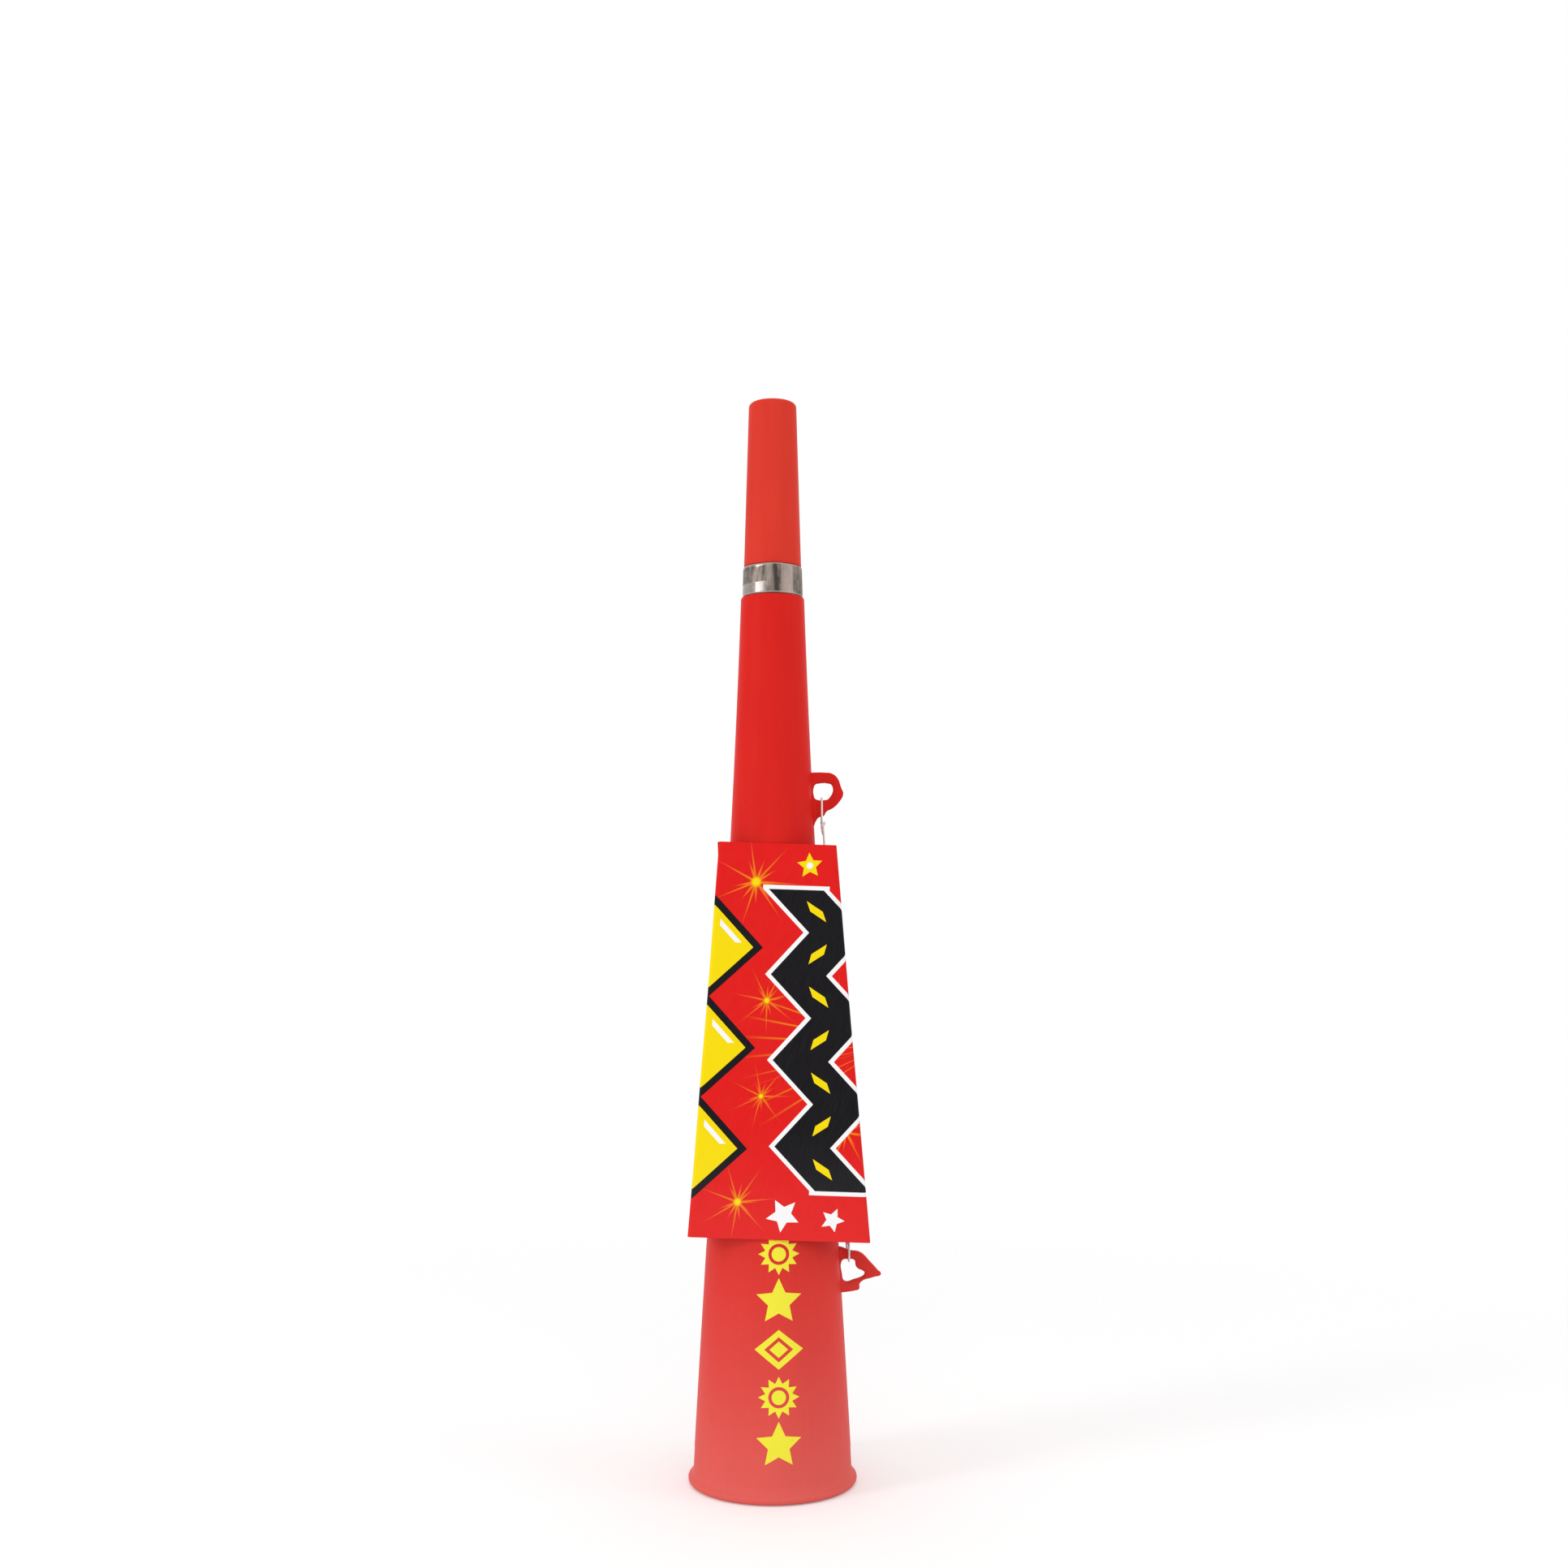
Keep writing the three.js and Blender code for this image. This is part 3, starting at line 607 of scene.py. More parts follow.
# smoother tin left of the front, with a painted highlight: there the colour is also lightened, so the key
# lamp's highlight shows whiter
worn_middle = (z - polish_highlight_foot + smudges).fade(0, 0.5) * (1 - (z - polish_highlight_top + streaks).fade(0, 0.5))
polish_and_highlight = (1 - worn_middle) * (1 - (around - polish_highlight_left).fade(0, 0.15))
colour = (polish_and_highlight * 0.3).mix(colour, linear(206, 198, 192))
# painted dark reflection: a dark vertical band a little right of the front, over the lapped part of the band
dark_reflection_place = around - dark_reflection_angle + (z - dark_reflection_middle) * dark_reflection_slant + (smudges - 0.5) * 0.10
colour = abs(dark_reflection_place).fade(0.02, 0.12).mix(linear(66, 59, 56), colour)
# painted highlights: pale lines along the band's top and bottom edges
edge_highlight = 1 - (z - edge_highlight_foot).fade(0, 0.35) * (1 - (z - edge_highlight_top).fade(0, 0.3))
colour = (edge_highlight * 0.6).mix(colour, linear(186, 176, 168))
roughness = 0.38 - polish_and_highlight * 0.28 + smudges * 0.12 + fine_streaks * 0.08
finish(shader, colour, roughness, smudges * 0.02 + fine_streaks * 0.004)
dressed(band, tinplate, "reed_unit", "ferrule_band")

# Mouthpiece
# A tapered tube of slightly more orange plastic, with a rounded lip at its top. A socket in its
# foot goes over the reed's plug, and a short neck goes inside the metal band.

mouth_top = mouth_foot + 51.3 * mm
mouth_foot_radius, mouth_tip_radius = 8.95 * mm, 7.45 * mm
mouth_bore, bore_straight = 4.5 * mm, 5 * mm
mouth_socket_radius, mouth_socket_depth = 7.35 * mm, 14 * mm
neck_radius, neck_edge = band_top_radius - band_sheet - seat_gap, 0.2 * mm
foot_rounding = 0.15 * mm
lip_radius = (mouth_tip_radius - mouth_bore) / 2
lip_height = mouth_top - lip_radius
side_foot, side_top = (mouth_foot_radius, mouth_foot), (mouth_tip_radius, lip_height)
mouth_profile = (
    [(mouth_socket_radius + neck_edge, neck_foot), (neck_radius - neck_edge, neck_foot)]
    + [(neck_radius, neck_foot + neck_edge), (neck_radius, mouth_foot)]
    + arc(mouth_foot_radius - foot_rounding, mouth_foot + foot_rounding, foot_rounding, -90, 0, 3)
    + [[between(low, high, i / 24) for low, high in zip(side_foot, side_top)] for i in range(1, 24)]
    + arc(mouth_bore + lip_radius, lip_height, lip_radius, 0, 180, 18)
    + [(mouth_bore, lip_height - bore_straight)]
    + [(mouth_socket_radius, mouth_foot + mouth_socket_depth)]
    + [(mouth_socket_radius, neck_foot + neck_edge)]
)
mouthpiece = turn("mouth_tube", mouth_profile, sides=112)
mouthpiece_plastic = plastic(
    "mouthpiece_plastic", linear(226, 63, 47), linear(222, 58, 45), roughness=0.44, gloss=0.04)[0]
dressed(mouthpiece, mouthpiece_plastic, "mouthpiece", "mouthpiece")

# Flag rod
# A thin white plastic tube stands beside the horn and leans with its side. The flag's sleeve
# is drawn over it, and the string runs through it.

flag_foot, flag_height = 78.7 * mm, 120 * mm
flag_top = flag_foot + flag_height
rod_stand_off, rod_radius, rod_bore, rod_inset = 3 * mm, 1.5 * mm, 0.9 * mm, 1 * mm


def rod_line(z):
    """How far from the horn's axis the rod's middle is at a height."""
    low, high = body_radius(flag_foot) + rod_stand_off, body_radius(flag_top) + rod_stand_off
    return between(low, high, (z - flag_foot) / flag_height)


half_rod = flag_height / 2 - rod_inset
rod_corners = [(rod_bore, -half_rod), (rod_radius, -half_rod), (rod_radius, half_rod), (rod_bore, half_rod)]
rod = turn("rod_tube", soft_corners(rod_corners, 0.15 * mm), sides=32)
rod_lean = atan2(rod_line(flag_top) - rod_line(flag_foot), flag_height)
rod_middle = flag_foot + flag_height / 2
stand = Matrix.Translation((axis_x + rod_line(rod_middle), 0, rod_middle))
rod.data.transform(stand @ Matrix.Rotation(rod_lean, 4, "Y") @ Matrix.Translation((-axis_x, 0, 0)))
rod_plastic = plastic(
    "rod_plastic", linear(246, 246, 243), linear(236, 235, 230), roughness=0.4, gloss=0.4)[0]
dressed(rod, rod_plastic, "horn", "flag_rod")

# Flag sleeve
# A strip of plain white polyester is folded round the rod. Its lip, behind the horn, is sewn
# to the flag's edge.

cloth, cloth_ripple, ripple_size = 0.25 * mm, 0.10 * mm, 14 * mm
cloth_gap = seat_gap + 0.2 * mm
layer_step = 0.8 * mm
sleeve_radius, over_rod = 2 * mm, 2.7 * mm
sleeve_lip, lip_share = 4 * mm, 0.25
sleeve_turn = radians(300)
left_stand_off, right_stand_off = (5.45 * mm, 3.22 * mm), (9.4 * mm, 6.35 * mm)
flag_tilt = 0.033
fold_angle = radians(20)
cloth_rows = 80


def polar(centre_out, radius, angle):
    return Vector((centre_out + radius * cos(angle), radius * sin(angle)))


def flag_round(z):
    """The cloth's course round the horn and the rod at a height: its radii, angles, corners and lengths."""
    skin_radius = body_radius(z)
    hug = skin_radius + cloth_gap
    outer = hug + layer_step
    rod_out = rod_line(z)
    up = (z - flag_foot) / flag_height
    left = -(skin_radius + between(*left_stand_off, up))
    right = skin_radius + between(*right_stand_off, up)
    past_rod = right - rod_out
    sleeve_angle = acos((hug - sleeve_radius) / rod_out)
    lip_foot, lip_back = polar(rod_out, sleeve_radius, sleeve_angle), polar(0, hug, sleeve_angle)
    back_angle = acos((outer - over_rod) / rod_out)
    rod_back, outer_back = polar(rod_out, over_rod, back_angle), polar(0, outer, back_angle)
    side_angle = atan2(-hug, past_rod) + acos(over_rod / hypot(past_rod, hug))
    left_angle = atan2(-hug, left) + 2 * pi - acos(hug / hypot(left, hug))
    return SimpleNamespace(
        hug=hug, outer=outer, rod=rod_out, sleeve_angle=sleeve_angle, back_angle=back_angle,
        left_angle=left_angle, left=Vector((left, -hug)), right=Vector((right, -hug)),
        left_foot=polar(0, hug, left_angle), lip_foot=lip_foot, lip_back=lip_back,
        lip_line=(lip_back - lip_foot).length, lip_way=(lip_back - lip_foot).normalized(),
        rod_side=polar(rod_out, over_rod, side_angle), side_arc=over_rod * (fold_angle - side_angle),
        back_arc=over_rod * (back_angle - fold_angle), rod_back=rod_back, outer_back=outer_back,
        back_line=(outer_back - rod_back).length,
    )


def sleeve_point(at, share):
    """A point of the sleeve's middle: along its lip, then round the rod."""
    if share < lip_share:
        return at.lip_foot + at.lip_way * sleeve_lip * (1 - share / lip_share)
    turned = at.sleeve_angle - sleeve_turn * (share - lip_share) / (1 - lip_share)
    return polar(at.rod, sleeve_radius, turned)


def cloth_sheet(name, columns, rows, point, starts=None, zero=0):
    """A sheet of cloth with a faint ripple, and where each of its rows ends.

    point gives its middle from a course and a share. Its UV map is in metres along the cloth, counted
    on from starts, or from the column zero. Its inner face is in the second material slot.
    """
    piece = grid(name, columns, rows)
    mesh = piece.data
    flat, ends = [], []
    for row in range(rows + 1):
        level = flag_foot + flag_height * row / rows
        level_course = flag_round(level)
        lengths = [starts[row] if starts else 0.0]
        before = None
        for column in range(columns + 1):
            share = column / columns
            askew = level - flag_tilt * point(level_course, share).x
            spot = point(flag_round(askew), share)
            vertex = mesh.vertices[row * (columns + 1) + column]
            vertex.co = (axis_x + spot.x, spot.y, askew)
            if before:
                lengths.append(lengths[-1] + (vertex.co - before).length)
            before = vertex.co.copy()
        shift = lengths[zero] - lengths[0]
        flat += [(length - shift, level - flag_foot) for length in lengths]
        ends.append(lengths[-1] - shift)
    for loop in mesh.loops:
        mesh.uv_layers["UVMap"].data[loop.index].uv = flat[loop.vertex_index]
    mesh.update()
    moves = []
    for vertex in mesh.vertices:
        x, y, z = vertex.co / ripple_size
        moves.append(vertex.normal * (noise.noise(Vector((x, y, z * 0.55))) * cloth_ripple))
    for vertex, move in zip(mesh.vertices, moves):
        vertex.co += move
    use(piece, "SOLIDIFY", thickness=cloth, offset=0, material_offset=1)
    smooth(50)
    return piece, ends


sleeve = cloth_sheet("rod_sleeve", 64, 48, sleeve_point)[0]


def weave(across, up, thread):
    """Plain weave, with threads of this width. All three are in millimetres."""
    turn_rate = pi / thread
    warp = (across * turn_rate).maths("SINE")
    weft = (up * turn_rate).maths("SINE")
    return (warp * weft).maths("SIGN") * (abs(warp) - abs(weft)) * 0.5 + abs(warp) * 0.25


white_cloth, shader, place = new_finish(
    "white_cloth", Specular_IOR_Level=0.2, Sheen_Weight=0.15, Sheen_Roughness=0.5)
flat = place.node("UVMap", uv_map="UVMap")
along, up = parts_of(flat)[:2]
thread_tone = flat.stretched(1, 0.06, 1).grain(2800, 1) * 0.5 + place.grain(160, 2) * 0.5
colour = thread_tone.fade(0.3, 0.7).mix(linear(248, 248, 246), linear(229, 229, 227))
finish(shader, colour, thread_tone * 0.1 + 0.78, weave(along, up, 0.32) * 0.05 + place.grain(260, 2) * 0.12)
dressed(sleeve, white_cloth, "horn", "flag_sleeve")

# Flag
# The flag is printed polyester, 163 by 120 mm, with cut edges. It goes from its sleeve round
# the horn's back, flat across the front from one crease to the other, over the rod, and on
# to the back, where its end lies loose. That end can be lifted, so the bend is its own piece.

fly_length, turn_allowance = 163 * mm, 1.2 * mm
crease_rounding = 1.5 * mm
bend_before, bend_after = 8.8 * mm, 1.5 * mm
hem_start, hem_end, hem_slope, hem_lift = 0.5 * mm, 4.4 * mm, 1.2 * mm, 0.28 * mm
tail_short_of_crease = 2.6 * mm
spring, spring_length, full_spring_length, spring_room = 0.8 * mm, 9 * mm, 20 * mm, 16 * mm
wound_spans = (14, 70, 8, 8, 54, 8, 12)
wound_columns = sum(wound_spans)
left_crease_column = sum(wound_spans[:3]) + wound_spans[3] // 2


def by_the_rod(at, distance):
    """A point of the flag near the rod, by its distance past the line where the end lifts."""
    if distance < -at.side_arc:
        way = (at.right - at.rod_side).normalized()
        return at.rod_side + way * (-at.side_arc - distance)
    past = distance - at.back_arc
    if past < 0:
        return polar(at.rod, over_rod, fold_angle + distance / over_rod)
    if past < at.back_line:
        return at.rod_back.lerp(at.outer_back, past / at.back_line)
    angle = at.back_angle + (past - at.back_line) / at.outer
    if angle < at.left_angle:
        return polar(0, at.outer, angle)
    beyond = (angle - at.left_angle) * at.outer
    along = (at.left - at.left_foot).normalized()
    return polar(0, at.outer, at.left_angle) + along * beyond


def wound_point(at, share):
    """A point of the flag's first turn, from its sewn edge to just before the rod."""
    part = share * wound_columns
    span = 0
    while span < len(wound_spans) - 1 and part > wound_spans[span]:
        part -= wound_spans[span]
        span += 1
    part /= wound_spans[span]
    left = at.left_foot, at.left, at.right, crease_rounding
    right = at.left, at.right, at.rod_side, crease_rounding
    if span == 0:
        distance = between(hem_start, at.lip_line, part)
        lift = hem_lift * (1 - ease((distance - hem_end) / hem_slope))
        return at.lip_foot + at.lip_way * distance + polar(0, lift, at.sleeve_angle)
    if span == 1:
        return polar(0, at.hug, between(at.sleeve_angle, at.left_angle, part))
    if span == 2:
        return at.left_foot.lerp(rounded_corner(*left, 0), part)
    if span == 3:
        return rounded_corner(*left, part)
    if span == 4:
        return rounded_corner(*left, 1).lerp(rounded_corner(*right, 0), part)
    if span == 5:
        return rounded_corner(*right, part)
    return rounded_corner(*right, 1).lerp(by_the_rod(at, -bend_before), part)


def bend_point(at, share):
    """A point of the short strip that bends when the flag's end is lifted."""
    return by_the_rod(at, between(-bend_before, bend_after, share))


def left_crease_at(at):
    """How far past the line where the end lifts the flag would meet its own left crease."""
    round_back = at.outer * (at.left_angle - at.back_angle)
    return at.back_arc + at.back_line + round_back + (at.left - at.left_foot).length


def tail_length(at):
    """How much of the flag is left past the line where its end lifts. It ends short of the left crease."""
    used = at.lip_line - sleeve_lip - seat_gap + at.side_arc + turn_allowance
    used += at.hug * (at.left_angle - at.sleeve_angle)
    corners = at.left_foot, at.left, at.right, at.rod_side
    used += sum((b - a).length for a, b in zip(corners, corners[1:]))
    return min(fly_length - used, left_crease_at(at) - tail_short_of_crease)


def tail_point(at, share):
    """A point of the flag's loose end, whose last few millimetres spring a little off the cloth below."""
    last = tail_length(at)
    distance = between(bend_after, last, share)
    spot = by_the_rod(at, distance)
    loose = max(0.0, 1 - (last - distance) / spring_length)
    held = min(1.0, max(0.0, (last - bend_after) / full_spring_length))
    free = min(1.0, max(0.0, (left_crease_at(at) - last) / spring_room - 0.15))
    return spot + spot.normalized() * (spring * loose * loose * held * free)


flag_wound, wound_ends = cloth_sheet(
    "flag_wound", wound_columns, cloth_rows, wound_point, zero=left_crease_column)
flag_bend, bend_ends = cloth_sheet("flag_bend", 40, cloth_rows, bend_point, wound_ends)
flag_tail = cloth_sheet("flag_tail_cloth", 64, cloth_rows, tail_point, bend_ends)[0]

flag_red = linear(234, 27, 25)
flag_yellow = linear(255, 227, 0)
flag_orange = linear(247, 132, 20)
flag_black = linear(17, 15, 20)
flag_white = linear(255, 255, 255)

# the design repeats along the fly, and is in millimetres from the left crease and from the lower edge
design_start, design_end = -17.0, 58.0
fan_across, fan_up, fan_full, fan_reach = 56.0, 60.0, 26, 47
chain_half, chain_outline = 15.6, 2.1
ribbon_across, ribbon_foot, ribbon_fold, ribbon_folds = 39.5, 15.0, 13.0, 7
ribbon_half, ribbon_swing, ribbon_lean, ribbon_edge = 6.2, 6.0, 0.1, 1.25
cut_slant = 0.2465


def flag_print(place):
    """Where a point is on the flat flag, in millimetres, and the print's colour there."""
    u, v = parts_of(place.node("UVMap", uv_map="UVMap"))[:2]
    across = u.maths("WRAP", design_end, design_start)
    colour = place.grain(240, 2).fade(0.3, 0.7).mix(flag_red, linear(232, 25, 24))

    # rays that fan out from the right edge, behind the ribbon
    ray_x, ray_y = fan_across - across, v - fan_up
    fan = ray_y.maths("ARCTAN2", ray_x)
    rays = ((fan * 90).maths("SINE") * 0.75 + (fan * 41 + 1.0).maths("SINE") * 0.25).fade(0.66, 0.86)
    rays = rays * (1 - abs(fan).fade(0.55, 0.75)) * (1 - far(ray_x, ray_y).fade(fan_full, fan_reach))
    colour = rays.mix(colour, flag_orange)

    # sparks: a bright middle and thin tapering points
    for spark_x, spark_y, size, turned in (
        (12, 108, 7.4, 0.2), (18, 72, 4.2, 0.5), (45, 33, 5.4, 0.1), (39.5, 69, 4.6, 0.0),
        (14, 11, 5.6, 0.35), (18.5, 43, 3.4, 0.25),
    ):
        out, rise = across - spark_x, v - spark_y
        long_points = star(out, rise, 7, size, size * 0.07, turned)
        short_points = star(out, rise, 9, size * 0.62, size * 0.13, turned + 0.2)
        glow = 1 - long_points.maths("MINIMUM", short_points).fade(-0.05, 0.3)
        colour = glow.mix(colour, flag_orange)
        colour = (1 - far(out, rise).fade(size * 0.1, size * 0.26)).mix(colour, flag_yellow)

    # a chain of lozenges on the left crease, outlined in black, each with a white glint
    for middle_y in (27, 57.5, 88):
        rise = v - middle_y
        edge = lozenge(across, rise, chain_half, chain_half)
        colour = edge.below(0).mix(colour, flag_black)
        colour = edge.below(-chain_outline).mix(colour, flag_yellow)
        glint = abs(edge + 4.4).below(0.7) * across.above(2.0) * rise.above(1.3)
        colour = glint.mix(colour, flag_white)

    # a black zigzag ribbon with a white edge, its ends cut square, and a yellow lozenge on each leg
    half_length = ribbon_fold * ribbon_folds / 2
    level = (v - ribbon_foot).maths("MAXIMUM", 0.0).maths("MINIMUM", 2 * half_length)
    swing = level.maths("PINGPONG", ribbon_fold)
    slope = 2 * ribbon_swing / ribbon_fold
    from_middle = across - (ribbon_across + ribbon_swing - level * ribbon_lean - swing * slope)
    sideways = abs(from_middle) * cos(atan(slope)) - ribbon_half
    ribbon = sideways.maths("MAXIMUM", abs(v - (ribbon_foot + half_length)) - half_length)
    colour = ribbon.below(ribbon_edge).mix(colour, flag_white)
    colour = ribbon.below(0).mix(colour, flag_black)
    leg_lozenge = lozenge(from_middle, swing - ribbon_fold / 2, 1.9, 3.1)
    colour = leg_lozenge.below(0).mix(colour, flag_yellow)

    # plain stars: a yellow one with a white middle, and two white ones
    for star_x, star_y, size, turned, fill in (
        (28, 113.5, 4.0, 0.1, flag_yellow), (28, 7.5, 5.2, 0.55, flag_white), (43, 6.5, 3.7, 0.9, flag_white),
    ):
        out, rise = across - star_x, v - star_y
        colour = star(out, rise, 5, size, size * 0.48, turned).below(0).mix(colour, fill)
        if fill == flag_yellow:
            colour = (1 - far(out, rise).fade(0.6, 1.3)).mix(colour, flag_white)
    # painted glare: the print is mixed faintly towards white near the flag's lower edge
    colour = ((1 - v.fade(0, 36)) * 0.014).mix(colour, flag_white)
    return u, v, colour


def printed_finish(name, paleness):
    """The printed cloth. The print is paler on the inner face, where it only shows through."""
    material, shader, place = new_finish(name, Specular_IOR_Level=0.1)
    u, v, colour = flag_print(place)
    fly = u - v * cut_slant
    threads = fly.node("CombineXYZ", {0: fly, 1: v * 0.05}).grain(3.2, 1)
    colour = (threads.fade(0.3, 0.7) * 0.006 + paleness).mix(colour, linear(240, 232, 228))
    finish(shader, colour, threads * 0.06 + 0.62, weave(fly, v, 0.28) * 0.014 + place.grain(120, 2) * 0.10)
    return material


printed_cloth = printed_finish("printed_cloth", 0.0)
inner_cloth = printed_finish("printed_cloth_inside", 0.30)
tail_lengths = [tail_length(flag_round(flag_foot + flag_height * i / 20)) for i in range(21)]
tail_mean = sum(tail_lengths) / len(tail_lengths) - bend_after
bend_width = bend_before + bend_after
wound_mean = fly_length - tail_mean - bend_width + sleeve_lip
for piece, width, mean_width, body, node in (
    (flag_wound, 157 * mm, wound_mean, "horn", "flag"),
    (flag_bend, bend_width, bend_width, None, None),
    (flag_tail, 56 * mm, tail_mean, "flag_tail", "flag_free_end"),
):
    dressed(piece, printed_cloth, body, node)
    piece.data.materials.append(inner_cloth)
    mean_width * flag_height
fold_out = polar(0, over_rod, fold_angle)
bend_foot = Vector((axis_x + rod_line(flag_foot) + fold_out.x, fold_out.y, flag_foot))
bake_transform(flag_bend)

# Hoist stitches
# One row of white thread sews the flag's edge to the sleeve's lip. Each stitch is a short slim
# bead that stands a hair proud of the cloth.

stitch_step, stitch_radius, stitch_half, stitch_line = 2.4 * mm, 0.1 * mm, 0.85 * mm, 2.3 * mm
stitches = []
for index in range(int(flag_height / stitch_step)):
    z = flag_foot + stitch_step * (index + 0.5)
    course = flag_round(z - flag_tilt * rod_line(z))
    spot = course.lip_foot + course.lip_way * stitch_line
    spot += polar(0, hem_lift + cloth / 2, course.sleeve_angle)
    stitches.append(added(
        "stitch", bpy.ops.mesh.primitive_uv_sphere_add, segments=8, ring_count=6, radius=1,
        location=(axis_x + spot.x, spot.y, z - flag_tilt * spot.x),
        scale=(stitch_radius, stitch_radius, stitch_half)))
bpy.ops.object.select_all(action="DESELECT")
for stitch in stitches:
    stitch.select_set(True)
bpy.context.view_layer.objects.active = stitches[0]
bpy.ops.object.join()
seam = bpy.context.object
seam.name = seam.data.name = "hoist_stitches"
bpy.ops.object.transform_apply()
bpy.ops.object.shade_smooth()

thread, shader, place = new_finish("white_thread", Specular_IOR_Level=0.3)
ply = (place.grain(1800, 2) * 0.6 + place.stretched(1, 1, 0.3).grain(6000, 1) * 0.4).fade(0.3, 0.7)
colour = ply.mix(linear(252, 252, 250), linear(236, 236, 232))
finish(shader, colour, ply * 0.15 + 0.6, ply * 0.06)
dressed(seam, thread, "horn")

# String
# A white twisted string runs through the rod. At each end it goes through a side loop as a
# noose and is knotted, with a short tail.

string_radius, string_twist, strand_depth = 0.34 * mm, 2.4 * mm, 0.16
noose_radius, knot_string_radius, tail_radius = [string_radius * share for share in (0.96, 0.86, 0.9)]
knot_radius, knot_scale = 1.2 * mm, 0.21 * mm
tail_course = [(-0.3, 0.9, 0.1), (-0.4, 1.5, -0.5), (-0.3, 1.8, -1.9), (0.1, 2.0, -3.3)]
noose_side = loop_half_thickness + seat_gap + string_radius
noose_wide = noose_side + string_radius * 0.25


def smooth_path(points, spacing):
    """Points at an even spacing on a smooth curve through these ones."""
    points = [Vector(p) for p in points]
    ends = [2 * points[0] - points[1]] + points + [2 * points[-1] - points[-2]]
    fine = []
    for i in range(1, len(ends) - 2):
        p0, p1, p2, p3 = ends[i - 1:i + 3]
        fine += interpolate_bezier(p1, p1 + (p2 - p0) / 6, p2 - (p3 - p1) / 6, p2, 25)[:-1]
    fine.append(points[-1])
    even, walked, target = [fine[0]], 0.0, spacing
    for a, b in zip(fine, fine[1:]):
        step = (b - a).length
        while walked + step >= target:
            even.append(a.lerp(b, (target - walked) / step))
            target += spacing
        walked += step
    even.append(fine[-1])
    return even


def twisted_string(mesh, path, radius, sides=15):
    """Adds a three-strand string along a path to a mesh, its ends closed."""
    rings, side, walked = [], None, 0.0
    for i, point in enumerate(path):
        ahead = (path[min(i + 1, len(path) - 1)] - path[max(i - 1, 0)]).normalized()
        if side is None:
            side = ahead.orthogonal().normalized()
        side = (side - ahead * side.dot(ahead)).normalized()
        other = ahead.cross(side)
        walked += (point - path[i - 1]).length if i else 0
        ring = []
        for k in range(sides):
            angle = 2 * pi * k / sides
            lobe = abs(cos(1.5 * (angle - 2 * pi * walked / string_twist)))
            out = radius * (1 - strand_depth * (1 - lobe) ** 1.5)
            ring.append(mesh.verts.new(point + (side * cos(angle) + other * sin(angle)) * out))
        rings.append(ring)
    for low, high in zip(rings, rings[1:]):
        for k in range(sides):
            mesh.faces.new((low[k], low[(k + 1) % sides], high[(k + 1) % sides], high[k]))
    mesh.faces.new(rings[0][::-1])
    mesh.faces.new(rings[-1])


def noose(knot_z, edge_z):
    """The path from a knot through a side loop, over the edge of its hole, and back."""
    away = 1 if edge_z > knot_z else -1
    low = between(knot_z, edge_z, 0.25)
    crossing = edge_z + away * (string_radius + seat_gap / 2)
    out = axis_x + rod_line(edge_z)
    course = [(0, knot_z), (noose_side, low), (noose_wide, edge_z), (loop_half_thickness, crossing)]
    return [(out, -y, z) for y, z in course] + [(out, y, z) for y, z in course[::-1]]


upper_hole_foot = min(height for out, height in loop_points(upper_loop, upper_loop.hole))
lower_hole_top = max(height for out, height in loop_points(lower_loop, lower_loop.hole))
upper_knot = upper_loop.foot - knot_radius - seat_gap
lower_knot = lower_loop.foot + lower_loop.height + knot_radius + seat_gap
string_mesh = bmesh.new()
run = [(axis_x + rod_line(z), 0, z) for z in (upper_knot, rod_middle, lower_knot)]
twisted_string(string_mesh, smooth_path(run, 0.25 * mm), string_radius)
for knot_z, edge_z in ((upper_knot, upper_hole_foot), (lower_knot, lower_hole_top)):
    twisted_string(string_mesh, smooth_path(noose(knot_z, edge_z), 0.2 * mm), noose_radius)
    middle = Vector((axis_x + rod_line(knot_z), 0, knot_z))
    turns = [2 * pi * i / 72 for i in range(73)]
    knot = [(sin(t) + 2 * sin(2 * t), -1.1 * sin(3 * t), cos(t) - 2 * cos(2 * t)) for t in turns]
    twisted_string(string_mesh, [middle + knot_scale * Vector(p) for p in knot], knot_string_radius)
    tail = [middle] + [middle + Vector(step) * mm for step in tail_course]
    twisted_string(string_mesh, smooth_path(tail, 0.2 * mm), tail_radius)
string = added("twisted_string", bpy.ops.mesh.primitive_plane_add)
bmesh.ops.recalc_face_normals(string_mesh, faces=string_mesh.faces)
string_mesh.to_mesh(string.data)
string_mesh.free()
smooth(60)
dressed(string, thread, "horn", "tie_string")

# Floor, lamps, world and camera
# A plain pale floor that fades to white, a large soft lamp on each side, one in front and one
# above, a white surround, and the photograph's level view from half a metre.

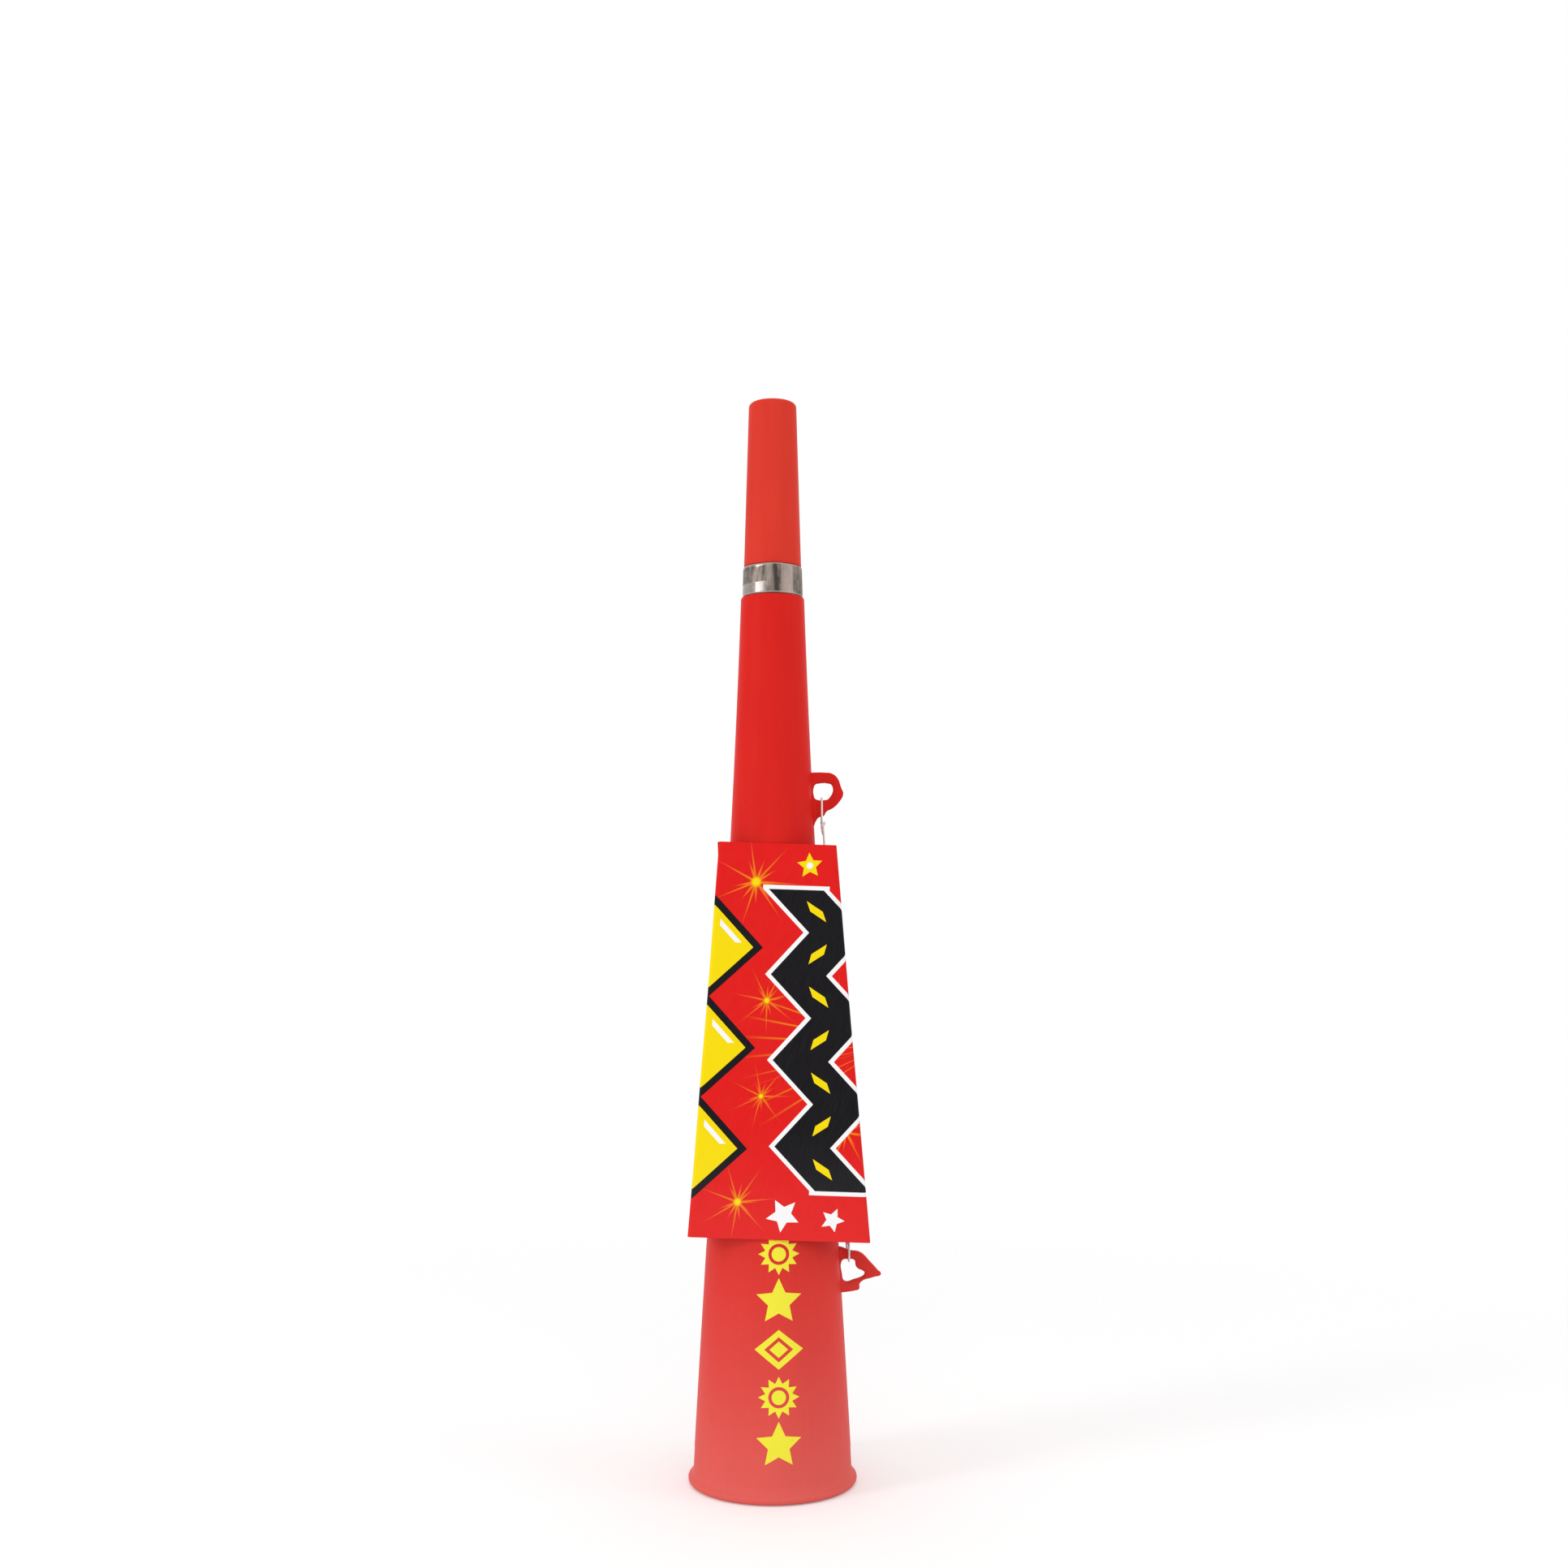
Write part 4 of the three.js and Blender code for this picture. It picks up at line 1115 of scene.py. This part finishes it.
floor = added(
    "floor", bpy.ops.mesh.primitive_circle_add, vertices=96, radius=1.6, fill_type="NGON",
    location=(0, 0, -0.2 * mm))
pale_floor, shader, place = new_finish(
    "pale_floor", Base_Color=linear(247, 247, 247), Roughness=0.9, Specular_IOR_Level=0.1,
    Emission_Strength=1.0)
x, y = parts_of(place)[:2]
(1 - far(x, y).fade(150, 520)).into(shader.inputs["Alpha"])
seen = place.node("LightPath", output="Is Camera Ray")
seen.mix((0, 0, 0, 1), (0.18, 0.18, 0.18, 1)).into(shader.inputs["Emission Color"])
floor.data.materials.append(pale_floor)

aim = Vector((0, 0, 0.17))
for name, place, width, height, energy in (
    ("key_lamp", (-1.03, -0.58, 0.42), 0.3, 0.9, 4.2),
    ("fill_lamp", (1.12, -0.42, 0.38), 0.7, 1.0, 2.3),
    ("front_lamp", (0.1, -1.15, 0.95), 0.9, 0.6, 2.0),
    ("top_lamp", (0.0, 0.1, 1.3), 0.9, 0.9, 2.2),
):
    lamp = added(name, bpy.ops.object.light_add, type="AREA", location=place)
    put(lamp.data, shape="RECTANGLE", size=width, size_y=height, energy=energy)
    lamp.rotation_euler = (aim - Vector(place)).to_track_quat("-Z", "Y").to_euler()

world = bpy.data.worlds.new("studio")
bpy.context.scene.world = world
world.use_nodes = True
world.node_tree.nodes.clear()
start = Sock(world.node_tree)
seen, mirrored, through = [
    start.node("LightPath", output=ray) for ray in ("Is Camera Ray", "Is Glossy Ray", "Is Transmission Ray")]
light, white = [start.node("Background", {"Color": (1, 1, 1, 1), "Strength": s}) for s in (0.64, 1.0)]
shown = seen.maths("MAXIMUM", mirrored).maths("MAXIMUM", through)
backdrop = start.node("MixShader", {0: shown, 1: light, 2: white})
output = world.node_tree.nodes.new("ShaderNodeOutputWorld")
backdrop.into(output.inputs["Surface"])

camera = added(
    "camera", bpy.ops.object.camera_add, location=(-0.0002, -0.562, 0.1727), rotation=(pi / 2, 0, 0))
put(camera.data, lens=41.2, sensor_width=36, shift_y=0.092, clip_start=0.01)
bpy.context.scene.camera = camera
bpy.context.scene.view_settings.view_transform = "Standard"
